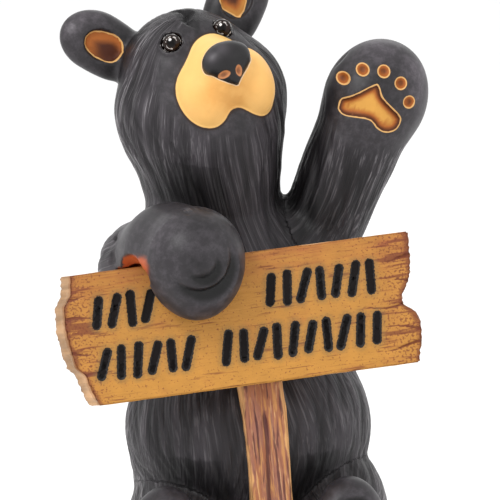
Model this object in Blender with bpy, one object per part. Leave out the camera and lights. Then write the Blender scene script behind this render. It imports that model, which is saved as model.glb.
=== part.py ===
"""A seated bear in cast and painted resin that waves one paw and holds a wooden sign with the other.

The bear faces -Y and sits on a low oval base, which stands on Z = 0 with the origin at its centre.
The bear is one casting. Its free form is given in units of its own: rounded masses are laid out on
a grid of distances, blended into each other, carved, and skinned with quads.
The base, the sign's board, its stake and the two glass eyes are pieces of their own. Left and right
are as seen from the front, so left is towards -X.
"""

import math

import bmesh
import bpy
import numpy as np
from mathutils import Matrix, Vector

# Driving dimensions, in metres and degrees.
FIGURE_HEIGHT = 0.203  # from the base's upper face to the tip of the higher ear
GAP = 0.0003  # between pieces that touch

BASE_MARGIN = 0.004  # how far the base reaches past the bear's seat and feet
BASE_HEIGHT = 0.006
BASE_ROUNDING = 0.002  # of its upper rim
BASE_FULLNESS = 2.5  # 2 makes the base an ellipse, more gives it fuller corners
BASE_SIDES = 56
ROUNDING_STEPS = 3

BOARD_LENGTH = 0.1095
BOARD_WIDTH = 0.0415
BOARD_THICKNESS = 0.0075
BOARD_BEVEL = 0.0006
BOARD_OFFSET = -0.0036  # from the stake's middle to the board's, along the board
BOARD_TILT = 1.6  # further than the stake
LEFT_END_SLOPE = 0.0032  # by which the left end's front edge is shorter than its back edge
END_REACH = 0.0047  # the furthest that a broken end reaches past the board's length
# The broken ends from the lower edge up: the share of half the width, and of the furthest reach.
LEFT_END = (
    (-1.0, -0.62),
    (-0.78, -0.21),
    (-0.51, 0.09),
    (-0.39, 0.60),
    (-0.06, 0.87),
    (0.2, 1.00),
    (0.54, 0.89),
    (0.7, 0.36),
    (1.0, 0.23),
)
RIGHT_END = (
    (-1.0, -0.34),
    (-0.59, 0.09),
    (-0.4, 0.15),
    (-0.23, -0.09),
    (-0.09, -0.91),
    (0.05, -0.87),
    (0.16, -0.60),
    (0.32, -0.19),
    (0.59, -0.04),
    (1.0, 0.04),
)
UNDER_WRIST = 1.3  # from the wrist's middle down to the board's upper edge, in the figure's units

STAKE_WIDTH = 0.0137
STAKE_THICKNESS = 0.007
STAKE_GROOVE = 0.0012  # depth of the groove down the stake's front
STAKE_GROOVE_WIDTH = 0.0036
STAKE_TOP_INSET = 0.006  # how far the stake's top stays below the board's upper edge
STAKE_SWAY = 0.0005  # how far its sides depart from straight
STAKE_SECTIONS = 12

SIGN_LEAN = 5.3  # of the whole sign, its top towards -X
SIGN_RAKE = 8.0  # its top towards the bear
SIGN_FOOT_X = 0.0062  # where the stake meets the base

STROKE_LENGTH = 0.0115
STROKE_WIDTH = 0.0026
STROKE_DEPTH = 0.0008
STROKE_PITCH = 0.0053
STROKE_SLANT = 12.0
STROKE_SWAY = 10.0  # how far single strokes depart from the slant
STROKE_VARIATION = 0.1  # share by which some strokes are shorter
ROW_RISE = 0.0081  # of each row above or below the board's middle
ROW_MARGIN = 0.0094  # from the board's ends to the middles of a row's outer strokes
WORD_GAP = 0.0069
WORDS = ((9, 7), (6, 10))  # strokes in each word of the upper and the lower row

EYE_RADIUS = 0.0033
EYE_SEGMENTS, EYE_RINGS = 12, 8

# The figure's own units, which its masses and its carving are given in.
FORM_HEIGHT = 101.5  # from the base to the tip of the higher ear
UNIT = FIGURE_HEIGHT / FORM_HEIGHT
FOOTPRINT_CENTRE = (0.1, -1.9)  # the middle of the seat and feet, which stands over the origin
SEAT_LEVEL = 16.0  # the base reaches under everything lower than this

# The grid that the figure is laid out on.
GRID_LOW, GRID_HIGH = (-32, -38, -2), (33, 27, 105)
GRID_STEP = 0.6
FAR = 100.0  # the distance before anything is laid out
SKIN_SHARE = 0.057  # of the skin's triangles that stay

# How the head sits: turned to +X, tipped towards -X and raised.
HEAD_CENTRE = (-8.5, 0.0, 82.3)
HEAD_TURN = 16.0
HEAD_TIP = 17.0
HEAD_RAISE = 8.0


# Shapes as signed distances, negative inside. Each gives back its distance and the box around it.


def turned(turn, tip, nod):
    """Axes across, forward and up of a head that starts out facing -Y."""
    spin = Matrix.Rotation(math.radians(turn), 3, "Z")
    roll = Matrix.Rotation(math.radians(-tip), 3, "Y")
    lift = Matrix.Rotation(math.radians(-nod), 3, "X")
    frame = np.array(spin @ roll @ lift)
    return frame[:, 0], -frame[:, 1], frame[:, 2]


UPRIGHT = (np.array((1.0, 0, 0)), np.array((0, 1.0, 0)), np.array((0, 0, 1.0)))
HEAD_AXES = turned(HEAD_TURN, HEAD_TIP, HEAD_RAISE)


def on_head(across, forward, up):
    """A point of the head, in the figure's own coordinates."""
    a, f, u = HEAD_AXES
    return np.array(HEAD_CENTRE) + a * across + f * forward + u * up


def ball(centre, radii, axes=UPRIGHT):
    """An ellipsoid."""
    centre, radii = np.asarray(centre, float), np.asarray(radii, float)

    def distance(x, y, z):
        offset = (x - centre[0], y - centre[1], z - centre[2])
        local = [sum(o * a for o, a in zip(offset, axis)) for axis in axes]
        near = np.sqrt(sum((v / r) ** 2 for v, r in zip(local, radii)))
        steep = np.sqrt(sum((v / r**2) ** 2 for v, r in zip(local, radii)))
        return near * (near - 1) / np.maximum(steep, 1e-6)

    reach = radii.max()
    return distance, centre - reach, centre + reach


def limb(start, end, first, last):
    """A round limb from one ball to another, its radius running evenly between theirs."""
    start, end = np.asarray(start, float), np.asarray(end, float)
    along = end - start

    def distance(x, y, z):
        offset = (x - start[0], y - start[1], z - start[2])
        share = sum(o * a for o, a in zip(offset, along)) / (along @ along)
        share = np.clip(share, 0, 1)
        square = sum((o - share * a) ** 2 for o, a in zip(offset, along))
        return np.sqrt(square) - (first + share * (last - first))

    reach = max(first, last)
    return distance, np.minimum(start, end) - reach, np.maximum(start, end) + reach


def soft_least(a, b, blend):
    """The smaller of two distances, rounded over where they are within blend of each other."""
    if not blend:
        return np.minimum(a, b)
    near = np.maximum(blend - np.abs(a - b), 0) / blend
    return np.minimum(a, b) - near * near * blend / 4


def fused(shapes, blend):
    """Several shapes as one, rounded into each other."""

    def distance(x, y, z):
        least = shapes[0][0](x, y, z)
        for shape in shapes[1:]:
            least = soft_least(least, shape[0](x, y, z), blend)
        return least

    lows, highs = [shape[1] for shape in shapes], [shape[2] for shape in shapes]
    return distance, np.min(lows, axis=0) - blend, np.max(highs, axis=0) + blend


class Clay:
    """A grid of distances that masses are added to and carved from."""

    def __init__(self, low, high, step):
        self.step = step
        self.low = np.asarray(low, float)
        self.axes = [np.arange(a, b + step, step) for a, b in zip(low, high)]
        self.values = np.full([len(a) for a in self.axes], FAR, np.float32)

    def window(self, low, high, margin):
        """The part of the grid that a shape can change, and its coordinates."""
        spans = []
        for axis, a, b in zip(self.axes, low, high):
            first = np.searchsorted(axis, a - margin)
            spans.append(slice(first, np.searchsorted(axis, b + margin)))
        return tuple(spans), np.ix_(*[a[s] for a, s in zip(self.axes, spans)])

    def add(self, shape, blend):
        distance, low, high = shape
        spans, grid = self.window(low, high, blend + 2 * self.step)
        self.values[spans] = soft_least(self.values[spans], distance(*grid), blend)

    def carve(self, shape, blend):
        distance, low, high = shape
        spans, grid = self.window(low, high, blend + 2 * self.step)
        self.values[spans] = -soft_least(-self.values[spans], distance(*grid), blend)

    def press(self, shape, depth, blend):
        """Sinks the surface inside a shape by a depth, with a flat floor that follows the surface."""
        distance, low, high = shape
        spans, grid = self.window(low, high, blend + 2 * self.step)
        here = self.values[spans]
        pocket = np.maximum(distance(*grid), -here - depth)
        self.values[spans] = -soft_least(-here, pocket, blend)

    def engrave(self, start, end, widths, depths):
        """A groove from one point to another, deepest along its middle."""
        start, end = np.asarray(start), np.asarray(end)
        spans, grid = self.window(np.minimum(start, end), np.maximum(start, end), max(widths))
        offset = [g - s for g, s in zip(grid, start)]
        along = end - start
        share = np.clip(sum(o * a for o, a in zip(offset, along)) / (along @ along), 0, 1)
        away = np.sqrt(sum((o - share * a) ** 2 for o, a in zip(offset, along)))
        width = widths[0] + share * (widths[1] - widths[0])
        depth = depths[0] + share * (depths[1] - depths[0])
        fall = np.clip(1 - away / width, 0, 1)
        self.values[spans] = np.maximum(self.values[spans], self.uncut[spans] + depth * fall)

    def keep_uncut(self):
        """Notes the surface as it is, so that grooves that cross don't go deeper for it."""
        self.uncut = self.values.copy()

    def cut_below(self, height):
        """Cuts everything off flat at a height."""
        heights = self.axes[2][None, None, :]
        self.values = np.maximum(self.values, height - heights).astype(np.float32)

    def settle(self):
        """Fills the corners where the surface would touch itself along an edge."""
        for axis in (0, 1, 2) * 3:
            grid = np.moveaxis(self.values, axis, 0)
            corners = [grid[:, :-1, :-1], grid[:, 1:, :-1], grid[:, 1:, 1:], grid[:, :-1, 1:]]
            a, b, c, d = [corner < 0 for corner in corners]
            crossed = (a == c) & (b == d) & (a != b)
            for corner in corners:
                corner[crossed] = np.minimum(corner[crossed], -self.step / 10)

    def distance_at(self, point):
        """The distance at a point, and the direction out of the surface there."""
        place = (np.asarray(point) - self.low) / self.step
        cell = np.clip(np.floor(place).astype(int), 0, np.array(self.values.shape) - 2)
        x, y, z = place - cell
        i, j, k = cell
        c = self.values[i : i + 2, j : j + 2, k : k + 2]
        wx, wy, wz = np.array((1 - x, x)), np.array((1 - y, y)), np.array((1 - z, z))
        value = np.einsum("ijk,i,j,k", c, wx, wy, wz)
        turn = np.array((-1.0, 1.0))
        slope = np.array(
            (
                np.einsum("ijk,i,j,k", c, turn, wy, wz),
                np.einsum("ijk,i,j,k", c, wx, turn, wz),
                np.einsum("ijk,i,j,k", c, wx, wy, turn),
            )
        )
        return value, slope / max(np.linalg.norm(slope), 1e-9)

    def skin(self):
        """Quads through the grid's zero level: one point for each cell that the surface crosses."""
        values = self.values
        inside = values < 0
        shape = tuple(n - 1 for n in values.shape)
        total, count = np.zeros((*shape, 3), np.float32), np.zeros(shape, np.int32)
        crossings = []
        for axis in range(3):
            side, other = (axis + 1) % 3, (axis + 2) % 3
            here = np.moveaxis(values, (axis, side, other), (0, 1, 2))
            marks = np.moveaxis(inside, (axis, side, other), (0, 1, 2))
            crossed = marks[:-1] != marks[1:]
            rise = np.where(crossed, here[:-1] - here[1:], 1)
            share = np.where(crossed, here[:-1] / rise, 0)
            points = np.moveaxis(total, (axis, side, other), (0, 1, 2))
            counts = np.moveaxis(count, (axis, side, other), (0, 1, 2))
            for i in (0, 1):
                for j in (0, 1):
                    part = (slice(None), slice(i, i + shape[side]), slice(j, j + shape[other]))
                    points[..., axis] += share[part]
                    points[..., side] += crossed[part] * i
                    points[..., other] += crossed[part] * j
                    counts += crossed[part]
            crossings.append((axis, side, other, crossed, marks[:-1]))
        cells = np.argwhere(count > 0)
        index = np.full(shape, -1)
        index[tuple(cells.T)] = np.arange(len(cells))
        points = total[tuple(cells.T)] / count[tuple(cells.T)][:, None]
        points = self.low + (cells + points) * self.step
        faces = []
        for axis, side, other, crossed, lower in crossings:
            cell = np.moveaxis(index, (axis, side, other), (0, 1, 2))
            at, i, j = np.nonzero(crossed)
            quads = np.stack(
                (cell[at, i - 1, j - 1], cell[at, i, j - 1], cell[at, i, j], cell[at, i - 1, j]), 1
            )
            outward = lower[at, i, j]
            faces += [quads[outward], quads[~outward][:, ::-1]]
        return points, np.concatenate(faces)


# The masses of the figure, in its own units: each shape, and how softly it runs into the others.

BELLY_CENTRE = (-0.3, 0.0, 25.2)
BELLY_RADII = (20.5, 19.2, 19.0)
RUMP = ball((0, 3.5, 11), (19.0, 17.5, 15))
CHEST = ball((-0.8, 1.5, 45), (17.2, 14.5, 17.5))
NECK = limb((-5.5, 1, 61), (-7.1, 0.5, 72.5), 10.8, 12.7)
TAIL = ball((0, 21.0, 9), (3.4, 3.6, 3.6))
LEFT_THIGH = ball((-10.6, -4.0, 9.0), (10.2, 15.0, 12.6))
RIGHT_THIGH = ball((12.4, -4.0, 11.2), (10.2, 15.0, 12.6))
BODY = [
    (ball(BELLY_CENTRE, BELLY_RADII), 0),
    (RUMP, 5),
    (CHEST, 5),
    (NECK, 4),
    (TAIL, 2),
    (LEFT_THIGH, 0.8),
    (RIGHT_THIGH, 0.8),
]

FEET = {-1: (-15.4, -23.0, 10.0), 1: (14.0, -23.0, 11.1)}
FOOT_RADII = (6.4, 5.2, 10.0)
FOOT_TURN = 9.0  # the soles turn outwards
FOOT_LEAN = 8.0  # and lean back
KNEE = (12.8, -10, 8.5)
KNEE_RADIUS, HEEL_RADIUS = 8.4, 6.2
HEEL = (2.0, -2.5)  # into the foot and up it, from the sole's middle


def foot_axes(side):
    """Axes across, into and up a foot's sole."""
    turn = Matrix.Rotation(math.radians(FOOT_TURN * side), 3, "Z")
    lean = Matrix.Rotation(math.radians(-FOOT_LEAN), 3, "X")
    return [np.array(column) for column in (turn @ lean).transposed()]


def feet():
    """The lower legs and the feet, with their soles to the front."""
    masses = []
    for side, centre in FEET.items():
        axes = foot_axes(side)
        heel = np.array(centre) + axes[1] * HEEL[0] + axes[2] * HEEL[1]
        knee = (KNEE[0] * side, *KNEE[1:])
        masses.append((limb(knee, heel, KNEE_RADIUS, HEEL_RADIUS), 1.5))
        masses.append((ball(centre, FOOT_RADII, axes), 1.2))
    return masses


SKULL = ball(on_head(-0.3, -1.0, -3.2), (14.7, 11.0, 12.2), HEAD_AXES)
CROWN = ball(on_head(-0.9, -0.8, 3.3), (10.2, 9.6, 9.3), HEAD_AXES)
CHIN = ball(on_head(0.8, 7.0, -7.8), (4.6, 4.0, 3.6), HEAD_AXES)
MUZZLE = fused(
    [
        limb(on_head(0.9, 5.2, 2.4), on_head(1.1, 12.1, 2.0), 5.4, 3.4),
        ball(on_head(-2.8, 7.2, -2.5), (4.4, 5.8, 6.2), HEAD_AXES),
        ball(on_head(5.0, 7.2, -2.4), (4.7, 5.8, 6.2), HEAD_AXES),
        ball(on_head(0.9, 9.0, -0.2), (4.2, 5.0, 4.6), HEAD_AXES),
    ],
    2.0,
)
NOSE = fused(
    [
        ball(on_head(1.35, 13.6, 2.5), (4.0, 2.5, 2.8), HEAD_AXES),
        limb(on_head(-0.8, 13.6, 2.1), on_head(1.4, 14.4, -0.9), 1.8, 0.6),
        limb(on_head(3.2, 13.6, 1.6), on_head(1.4, 14.4, -0.9), 1.6, 0.6),
        limb(on_head(1.35, 13.6, 1.6), on_head(1.4, 14.4, -0.7), 2.4, 0.8),
    ],
    0.8,
)
FACE = [(CHIN, 1.5), (MUZZLE, 0.3), (NOSE, 0.3)]

EAR_ROOT, EAR_ROOT_RADII = (10.2, -6.0, 8.4), (6.0, 4.8, 2.8)
EAR, EAR_RADII = (12.4, -6.0, 10.9), (6.2, 5.0, 3.0)
EAR_HOLLOW, EAR_HOLLOW_RADII = (12.2, -2.6, 10.7), (3.4, 2.7, 3.2)
EAR_HOLLOW_DEPTH = 1.0
EAR_SHIFTS = {-1: (0.0, 0.0, 0.9), 1: (0.9, 0.0, 0.0)}  # of each ear from where its hollow stands
EAR_ALONG = (0.8, 0.0, 0.6)  # which way an ear points, across, forward and up
EAR_FACING = (0.2, 0.97, 0.15)


def ear_axes(side):
    """Axes along, across and through an ear, which points up and outwards and faces forwards."""
    a, f, u = HEAD_AXES
    along = a * side * EAR_ALONG[0] + f * EAR_ALONG[1] + u * EAR_ALONG[2]
    through = a * side * EAR_FACING[0] + f * EAR_FACING[1] + u * EAR_FACING[2]
    through = through - along * (through @ along)
    through = through / np.linalg.norm(through)
    return along, np.cross(through, along), through


def on_ear(side, spot):
    return on_head(spot[0] * side, *spot[1:])


def ears():
    masses = []
    for side in (-1, 1):
        axes, shift = ear_axes(side), EAR_SHIFTS[side]
        masses.append((ball(on_ear(side, np.add(EAR_ROOT, shift)), EAR_ROOT_RADII, axes), 1.5))
        masses.append((ball(on_ear(side, np.add(EAR, shift)), EAR_RADII, axes), 1.0))
    return masses


SHOULDER = np.array((11.9, 0.3, 58.9))
PAW = np.array((21.1, -0.5, 80.9))
PALM_RADII = (8.1, 6.8, 8.6)
ARM_AXIS = (PAW - SHOULDER) / np.linalg.norm(PAW - SHOULDER)
PALM_ACROSS = np.cross((0, 1, 0), ARM_AXIS) / np.linalg.norm(np.cross((0, 1, 0), ARM_AXIS))
PALM_AXES = (PALM_ACROSS, np.cross(ARM_AXIS, PALM_ACROSS), ARM_AXIS)
RAISED_ARM = [
    (ball((9.0, 1, 53), (9.6, 9.4, 9.4)), 3),
    (limb(SHOULDER, PAW - ARM_AXIS * 3, 7.1, 7.7), 1.2),
    (ball(PAW, PALM_RADII, PALM_AXES), 3),
]

# The arm that reaches over the board's upper edge and hangs its paw down in front of it.
ELBOW = np.array((-17.6, -12.5, 53.6))
WRIST = np.array((-14.2, -20.5, 57.0))
GRIP = np.array((-11.3, -26.5, 56.9))
GRIP_BALL, GRIP_RADII = GRIP + (0.7, -0.2, -1.4), (7.0, 5.7, 8.4)
HOLDING_ARM = [
    (limb((-10.5, -1, 54), ELBOW, 9.5, 7.3), 3),
    (limb(ELBOW, WRIST, 7.3, 7.4), 2.5),
    (limb(WRIST, GRIP, 7.4, 7.8), 2),
    (ball(GRIP_BALL, GRIP_RADII), 2),
]
BELOW_WRIST = limb((-19.5, -28, 53.7), (-19.5, -19.6, 53.7), 1.7, 1.7)
PAW_SIDE = limb((-21.6, -25.0, 53.0), (-18.4, -25.5, 42), 4.3, 4.4)

# The pads of the raised paw: a main pad with three lobes under an arc of toes.
PAD_CENTRE = (0.0, -3.0)  # on the palm, across and along the arm
PAD_LOBES = ((195.0, 5.2), (100.0, 3.9), (-8.0, 5.0))  # where each lobe points, and how far it reaches
PAD_LOBE_SPREAD = 0.55
PAD_WAIST = 2.0
PAD_POINTS = 30
PAD_DEPTH = 0.45
PAD_REACH = 2.0  # how far the pads' cutter stands out of the palm
TOES = 5
TOE_CENTRE = (-1.0, -2.9)  # of the arc that the toes stand on
TOE_ARC = 6.4
TOE_MIDDLE = 93.0
TOE_STEP = 30.5
TOE_RADIUS = 1.05
TOE_SIDES = 10


def circle(centre, radius, count):
    """Points around a circle."""
    angles = [2 * math.pi * k / count for k in range(count)]
    return [(centre[0] + radius * math.cos(k), centre[1] + radius * math.sin(k)) for k in angles]


def pad_outlines():
    """The outlines of the main pad and the toes, each with its middle, on the palm."""
    points = []
    for x, y in circle((0, 0), 1, PAD_POINTS):
        reach = PAD_WAIST
        for way, lobe in PAD_LOBES:
            turn = math.atan2(y, x) - math.radians(way)
            turn = (turn + math.pi) % (2 * math.pi) - math.pi
            reach += (lobe - PAD_WAIST) * math.exp(-((turn / PAD_LOBE_SPREAD) ** 2))
        points.append((PAD_CENTRE[0] + reach * x, PAD_CENTRE[1] + reach * y))
    outlines = [(PAD_CENTRE, points)]
    for toe in range(TOES):
        angle = math.radians(TOE_MIDDLE - (toe - (TOES - 1) / 2) * TOE_STEP)
        spot = np.array(TOE_CENTRE) + TOE_ARC * np.array((math.cos(angle), math.sin(angle)))
        outlines.append((spot, circle(spot, TOE_RADIUS, TOE_SIDES)))
    return outlines


def on_palm(spot, rise):
    """A point of the palm, across and along the arm, so far above its surface."""
    across, through, along = PALM_AXES
    share = 1 - (spot[0] / PALM_RADII[0]) ** 2 - (spot[1] / PALM_RADII[2]) ** 2
    front = PALM_RADII[1] * math.sqrt(share) + rise
    return PAW + across * spot[0] + along * spot[1] - through * front


# Carving.

EYES = {"eye_left": on_head(-4.15, 6.5, 7.5), "eye_right": on_head(4.85, 6.2, 7.15)}

# Which way the coat lies: directions at a few places, which nearby strokes take up.
COAT = [
    (on_head(-8, 5, 6), -HEAD_AXES[2] - HEAD_AXES[0] * 0.5),
    (on_head(8, 5, 6), -HEAD_AXES[2] + HEAD_AXES[0] * 0.5),
    (on_head(0, 1, 13), -HEAD_AXES[1]),
    (on_head(0, -12, 2), -HEAD_AXES[2]),
    (on_head(-13, 2, -6), -HEAD_AXES[2] + HEAD_AXES[0] * 0.2),
    (on_head(13, 2, -6), -HEAD_AXES[2]),
    ((-6, -11, 66), (0.15, 0, -1)),
    ((-18, 1, 66), (0.3, 0, -1)),
    ((-6, 13, 66), (0, 0, -1)),
    ((0, -18, 34), (0.05, 0, -1)),
    ((-20, 0, 32), (-0.1, -0.3, -1)),
    ((20, 0, 32), (0.1, -0.3, -1)),
    ((0, 19, 30), (0, 0, -1)),
    ((-20, -8, 12), (0, -0.8, -0.6)),
    ((21, -8, 12), (0, -0.8, -0.6)),
    (SHOULDER, -ARM_AXIS),
    (PAW, -ARM_AXIS),
    (ELBOW + (-6, 0, 4), (0.5, -0.8, 0.5)),
    (GRIP + (0, 0, 8), (0.9, -0.3, -0.4)),
]

# Smooth places that no stroke crosses: centre and radius.
SMOOTH = [
    (on_head(0.7, 10, 0.5), 9.8),
    (on_head(-12.6, -6, 10.2), 7.6),
    (on_head(12.6, -6, 10.2), 7.6),
    (PAW, 11.0),
    (GRIP + (2, -3, -2), 9.5),
    (np.array(FEET[-1]) + (0, -4, 0), 10.5),
    (np.array(FEET[1]) + (0, -4, 0), 10.5),
]

FUR_SPACING = 7.6  # between the starts of strokes
FUR_LENGTHS = (12.0, 20.0)
FUR_WIDTH = 1.7  # to each side of a stroke's middle
FUR_DEPTH = 1.0
FUR_STEP = 1.3
FUR_WANDER, FUR_WAVE = 0.22, 0.7
FUR_TIP = 0.35  # of the width at a stroke's ends
FUR_FLOOR = 1.5  # no strokes lower than this
FUR_SEED = 5
COAT_SPREAD = 4.0  # softens the change from one direction of the coat to the next


def lie(point):
    """The direction in which the coat lies at a point."""
    total = np.zeros(3)
    for place, way in COAT:
        away = np.subtract(point, place)
        way = np.asarray(way, float)
        total += way / np.linalg.norm(way) / (away @ away + COAT_SPREAD) ** 1.5
    return total / np.linalg.norm(total)


def is_smooth(point):
    return any(math.dist(point, centre) < radius for centre, radius in SMOOTH)


def comb(clay, start, length):
    """The points of a stroke that follows the coat along the surface from a start."""
    point, points = np.asarray(start, float), []
    for number in range(round(length / FUR_STEP)):
        away, outward = clay.distance_at(point)
        point = point - outward * away
        if is_smooth(point) or point[2] < FUR_FLOOR:
            break
        points.append(point)
        way = lie(point)
        way = way + np.cross(outward, way) * FUR_WANDER * math.sin(number * FUR_WAVE + start[2])
        way = way - outward * (way @ outward)
        point = point + way / np.linalg.norm(way) * FUR_STEP
    return points


def engrave_stroke(clay, points, width, depth):
    """A groove along points that starts and ends thin and shallow."""
    count = len(points) - 1
    for number, (start, end) in enumerate(zip(points, points[1:])):
        swell = [max(math.sin(math.pi * (number + k) / count), 0.0) for k in (0, 1)]
        widths = [width * (FUR_TIP + (1 - FUR_TIP) * k) for k in swell]
        clay.engrave(start, end, widths, [depth * k for k in swell])


def carve_coat(clay):
    """Long shallow chisel strokes all over the coat."""
    points, _ = clay.skin()
    chance = np.random.default_rng(FUR_SEED)
    seeds = []
    clay.keep_uncut()
    for point in chance.permutation(points):
        if point[2] < FUR_FLOOR or is_smooth(point):
            continue
        if seeds and min(np.sum(np.subtract(seeds, point) ** 2, axis=1)) < FUR_SPACING**2:
            continue
        seeds.append(point)
        stroke = comb(clay, point, chance.uniform(*FUR_LENGTHS))
        if len(stroke) > 4:
            engrave_stroke(clay, stroke, FUR_WIDTH, FUR_DEPTH)


# The curled lines on the holding paw and the feet: radius, width and depth of each line.
PAW_SCROLLS = ((4.9, 1.9, 1.3), (2.5, 1.5, 1.0))
FOOT_SCROLLS = ((4.2, 1.8, 1.2), (1.9, 1.4, 0.9))
PAW_SCROLL_CENTRE = GRIP + (1.2, 0, -0.3)
PAW_SCROLL_TURN = (-150, 30)
FOOT_SCROLL_CENTRE = (0, 0, 2.0)  # from the sole's middle
SCROLL_POINTS = 14
SCROLL_START = 9.0  # how far ahead of its middle a line starts on its way to the surface
SCROLL_TRIES = 24


def scroll(clay, middle, axes, line, start, end):
    """An arc engraved into the surface ahead of a point, from one angle to another."""
    across, through, up = axes
    radius, width, depth = line
    points = []
    for angle in np.radians(np.linspace(start, end, SCROLL_POINTS)):
        point = middle + (across * math.cos(angle) + up * math.sin(angle)) * radius
        point = point - through * SCROLL_START
        for _ in range(SCROLL_TRIES):
            point = point + through * min(clay.distance_at(point)[0], 1.0)
        points.append(point)
    engrave_stroke(clay, points, width, depth)


def carve_scrolls(clay):
    clay.keep_uncut()
    for line in PAW_SCROLLS:
        scroll(clay, PAW_SCROLL_CENTRE, UPRIGHT, line, *PAW_SCROLL_TURN)
    for side, centre in FEET.items():
        middle = np.add(centre, FOOT_SCROLL_CENTRE)
        for line in FOOT_SCROLLS:
            scroll(clay, middle, foot_axes(side), line, 90 + 120 * side, 90 - 130 * side)


def model_figure():
    """The whole bear as points and quads, in its own units."""
    clay = Clay(GRID_LOW, GRID_HIGH, GRID_STEP)
    head = [(SKULL, 3), (CROWN, 2.5)] + ears() + FACE
    for shape, blend in BODY + feet() + head + RAISED_ARM + HOLDING_ARM:
        clay.add(shape, blend)
    for side in (-1, 1):
        hollow = ball(on_ear(side, EAR_HOLLOW), EAR_HOLLOW_RADII, ear_axes(side))
        clay.press(hollow, EAR_HOLLOW_DEPTH, 0.4)
    clay.carve(BELOW_WRIST, 0.3)
    clay.carve(PAW_SIDE, 0.4)
    carve_coat(clay)
    carve_scrolls(clay)
    clay.cut_below(0)
    clay.settle()
    return clay.skin()


def placed(point):
    """A point of the figure, in metres."""
    x, y, z = point
    return Vector(
        (
            (x - FOOTPRINT_CENTRE[0]) * UNIT,
            (y - FOOTPRINT_CENTRE[1]) * UNIT,
            BASE_HEIGHT + GAP + z * UNIT,
        )
    )


# Pieces as Blender objects.


def paint(obj, name, colour, roughness):
    material = bpy.data.materials.new(name)
    material.use_nodes = True
    shader = material.node_tree.nodes["Principled BSDF"]
    shader.inputs["Base Color"].default_value = (*colour, 1)
    shader.inputs["Roughness"].default_value = roughness
    shader.inputs["Metallic"].default_value = 0
    obj.data.materials.append(material)
    return obj


def new_object(name, mesh):
    obj = bpy.data.objects.new(name, mesh)
    bpy.context.collection.objects.link(obj)
    return obj


def from_bmesh(name, shape):
    mesh = bpy.data.meshes.new(name)
    bmesh.ops.recalc_face_normals(shape, faces=shape.faces)
    shape.to_mesh(mesh)
    shape.free()
    return new_object(name, mesh)


def as_cutter(obj):
    obj.hide_render = True
    obj.display_type = "WIRE"
    return obj


def cut(obj, cutter):
    modifier = obj.modifiers.new("cut " + cutter.name, "BOOLEAN")
    modifier.operation = "DIFFERENCE"
    modifier.object = cutter
    modifier.solver = "EXACT"


def add_bevel(obj, width):
    bevel = obj.modifiers.new("bevel", "BEVEL")
    bevel.width = width
    bevel.segments = 1
    bevel.limit_method = "ANGLE"
    bevel.angle_limit = math.radians(40)


def prism(shape, outlines, matrix, depths):
    """A closed solid between two outlines across and up the sign, each at its own depth."""
    rings = []
    for outline, depth in zip(outlines, depths):
        rings.append([shape.verts.new(matrix @ Vector((x, depth, z))) for x, z in outline])
    shape.faces.new(rings[0])
    shape.faces.new(rings[1])
    for i in range(len(rings[0])):
        j = (i + 1) % len(rings[0])
        shape.faces.new((rings[0][i], rings[0][j], rings[1][j], rings[1][i]))


def sign_frame():
    """The sign's own frame: X along the board, Y out of its back, Z up the stake.

    Its origin is where the middle of the stake's back meets the base, and the stake's back lies
    against the belly.
    """
    rake = Matrix.Rotation(math.radians(-SIGN_RAKE), 4, "X")
    lean = Matrix.Rotation(math.radians(-SIGN_LEAN), 4, "Y")
    turn = rake @ lean
    front = -turn.col[1].to_3d()
    reach = Vector([r * UNIT * n for r, n in zip(BELLY_RADII, front)]).length + GAP
    belly = placed(BELLY_CENTRE)
    foot = Vector((SIGN_FOOT_X, 0, BASE_HEIGHT))
    foot.y = belly.y + (reach - front.z * (foot.z - belly.z)) / front.y
    return Matrix.Translation(foot) @ turn


def board_frame(frame):
    """The board's own frame: its middle, with its upper edge under the wrist."""
    seat = frame.inverted() @ placed(np.subtract(WRIST, (0, 0, UNDER_WRIST)))
    middle = Vector((BOARD_OFFSET, 0, seat.z - BOARD_WIDTH / 2))
    tilt = Matrix.Rotation(math.radians(-BOARD_TILT), 4, "Y")
    return frame @ Matrix.Translation(middle) @ tilt


def board_outline(grow, slope=0.0):
    """The board's outline with its broken ends, grown outwards, and its left end made shorter."""
    half, side = BOARD_LENGTH / 2 + grow, BOARD_WIDTH / 2 + grow
    right = [(half + reach * END_REACH, side * share) for share, reach in RIGHT_END]
    left = [(slope - half - reach * END_REACH, side * share) for share, reach in reversed(LEFT_END)]
    return right + left


BOARD_BACK = -STAKE_THICKNESS - GAP
BOARD_FACE = BOARD_BACK - BOARD_THICKNESS


def make_board(place):
    shape = bmesh.new()
    outlines = (board_outline(0), board_outline(0, LEFT_END_SLOPE))
    prism(shape, outlines, place, (BOARD_BACK, BOARD_FACE))
    board = paint(from_bmesh("sign_board", shape), "board paint", (0.6, 0.28, 0.053), 0.55)
    add_bevel(board, BOARD_BEVEL)
    return board


def stroke_middles(place):
    """Where the strokes of each row stand on the board, but for those that the paw hides."""
    paw = place.inverted() @ placed(GRIP_BALL)
    side, lowest = GRIP_RADII[0] * UNIT, paw.z - GRIP_RADII[2] * UNIT
    for row, words in enumerate(WORDS):
        across, height = ROW_MARGIN - BOARD_LENGTH / 2, ROW_RISE * (1 - 2 * row)
        for count in words:
            for _ in range(count):
                if across > BOARD_LENGTH / 2 - ROW_MARGIN:
                    return
                if abs(across - paw.x) > side or height < lowest:
                    yield across, height
                across += STROKE_PITCH
            across += WORD_GAP


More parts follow.
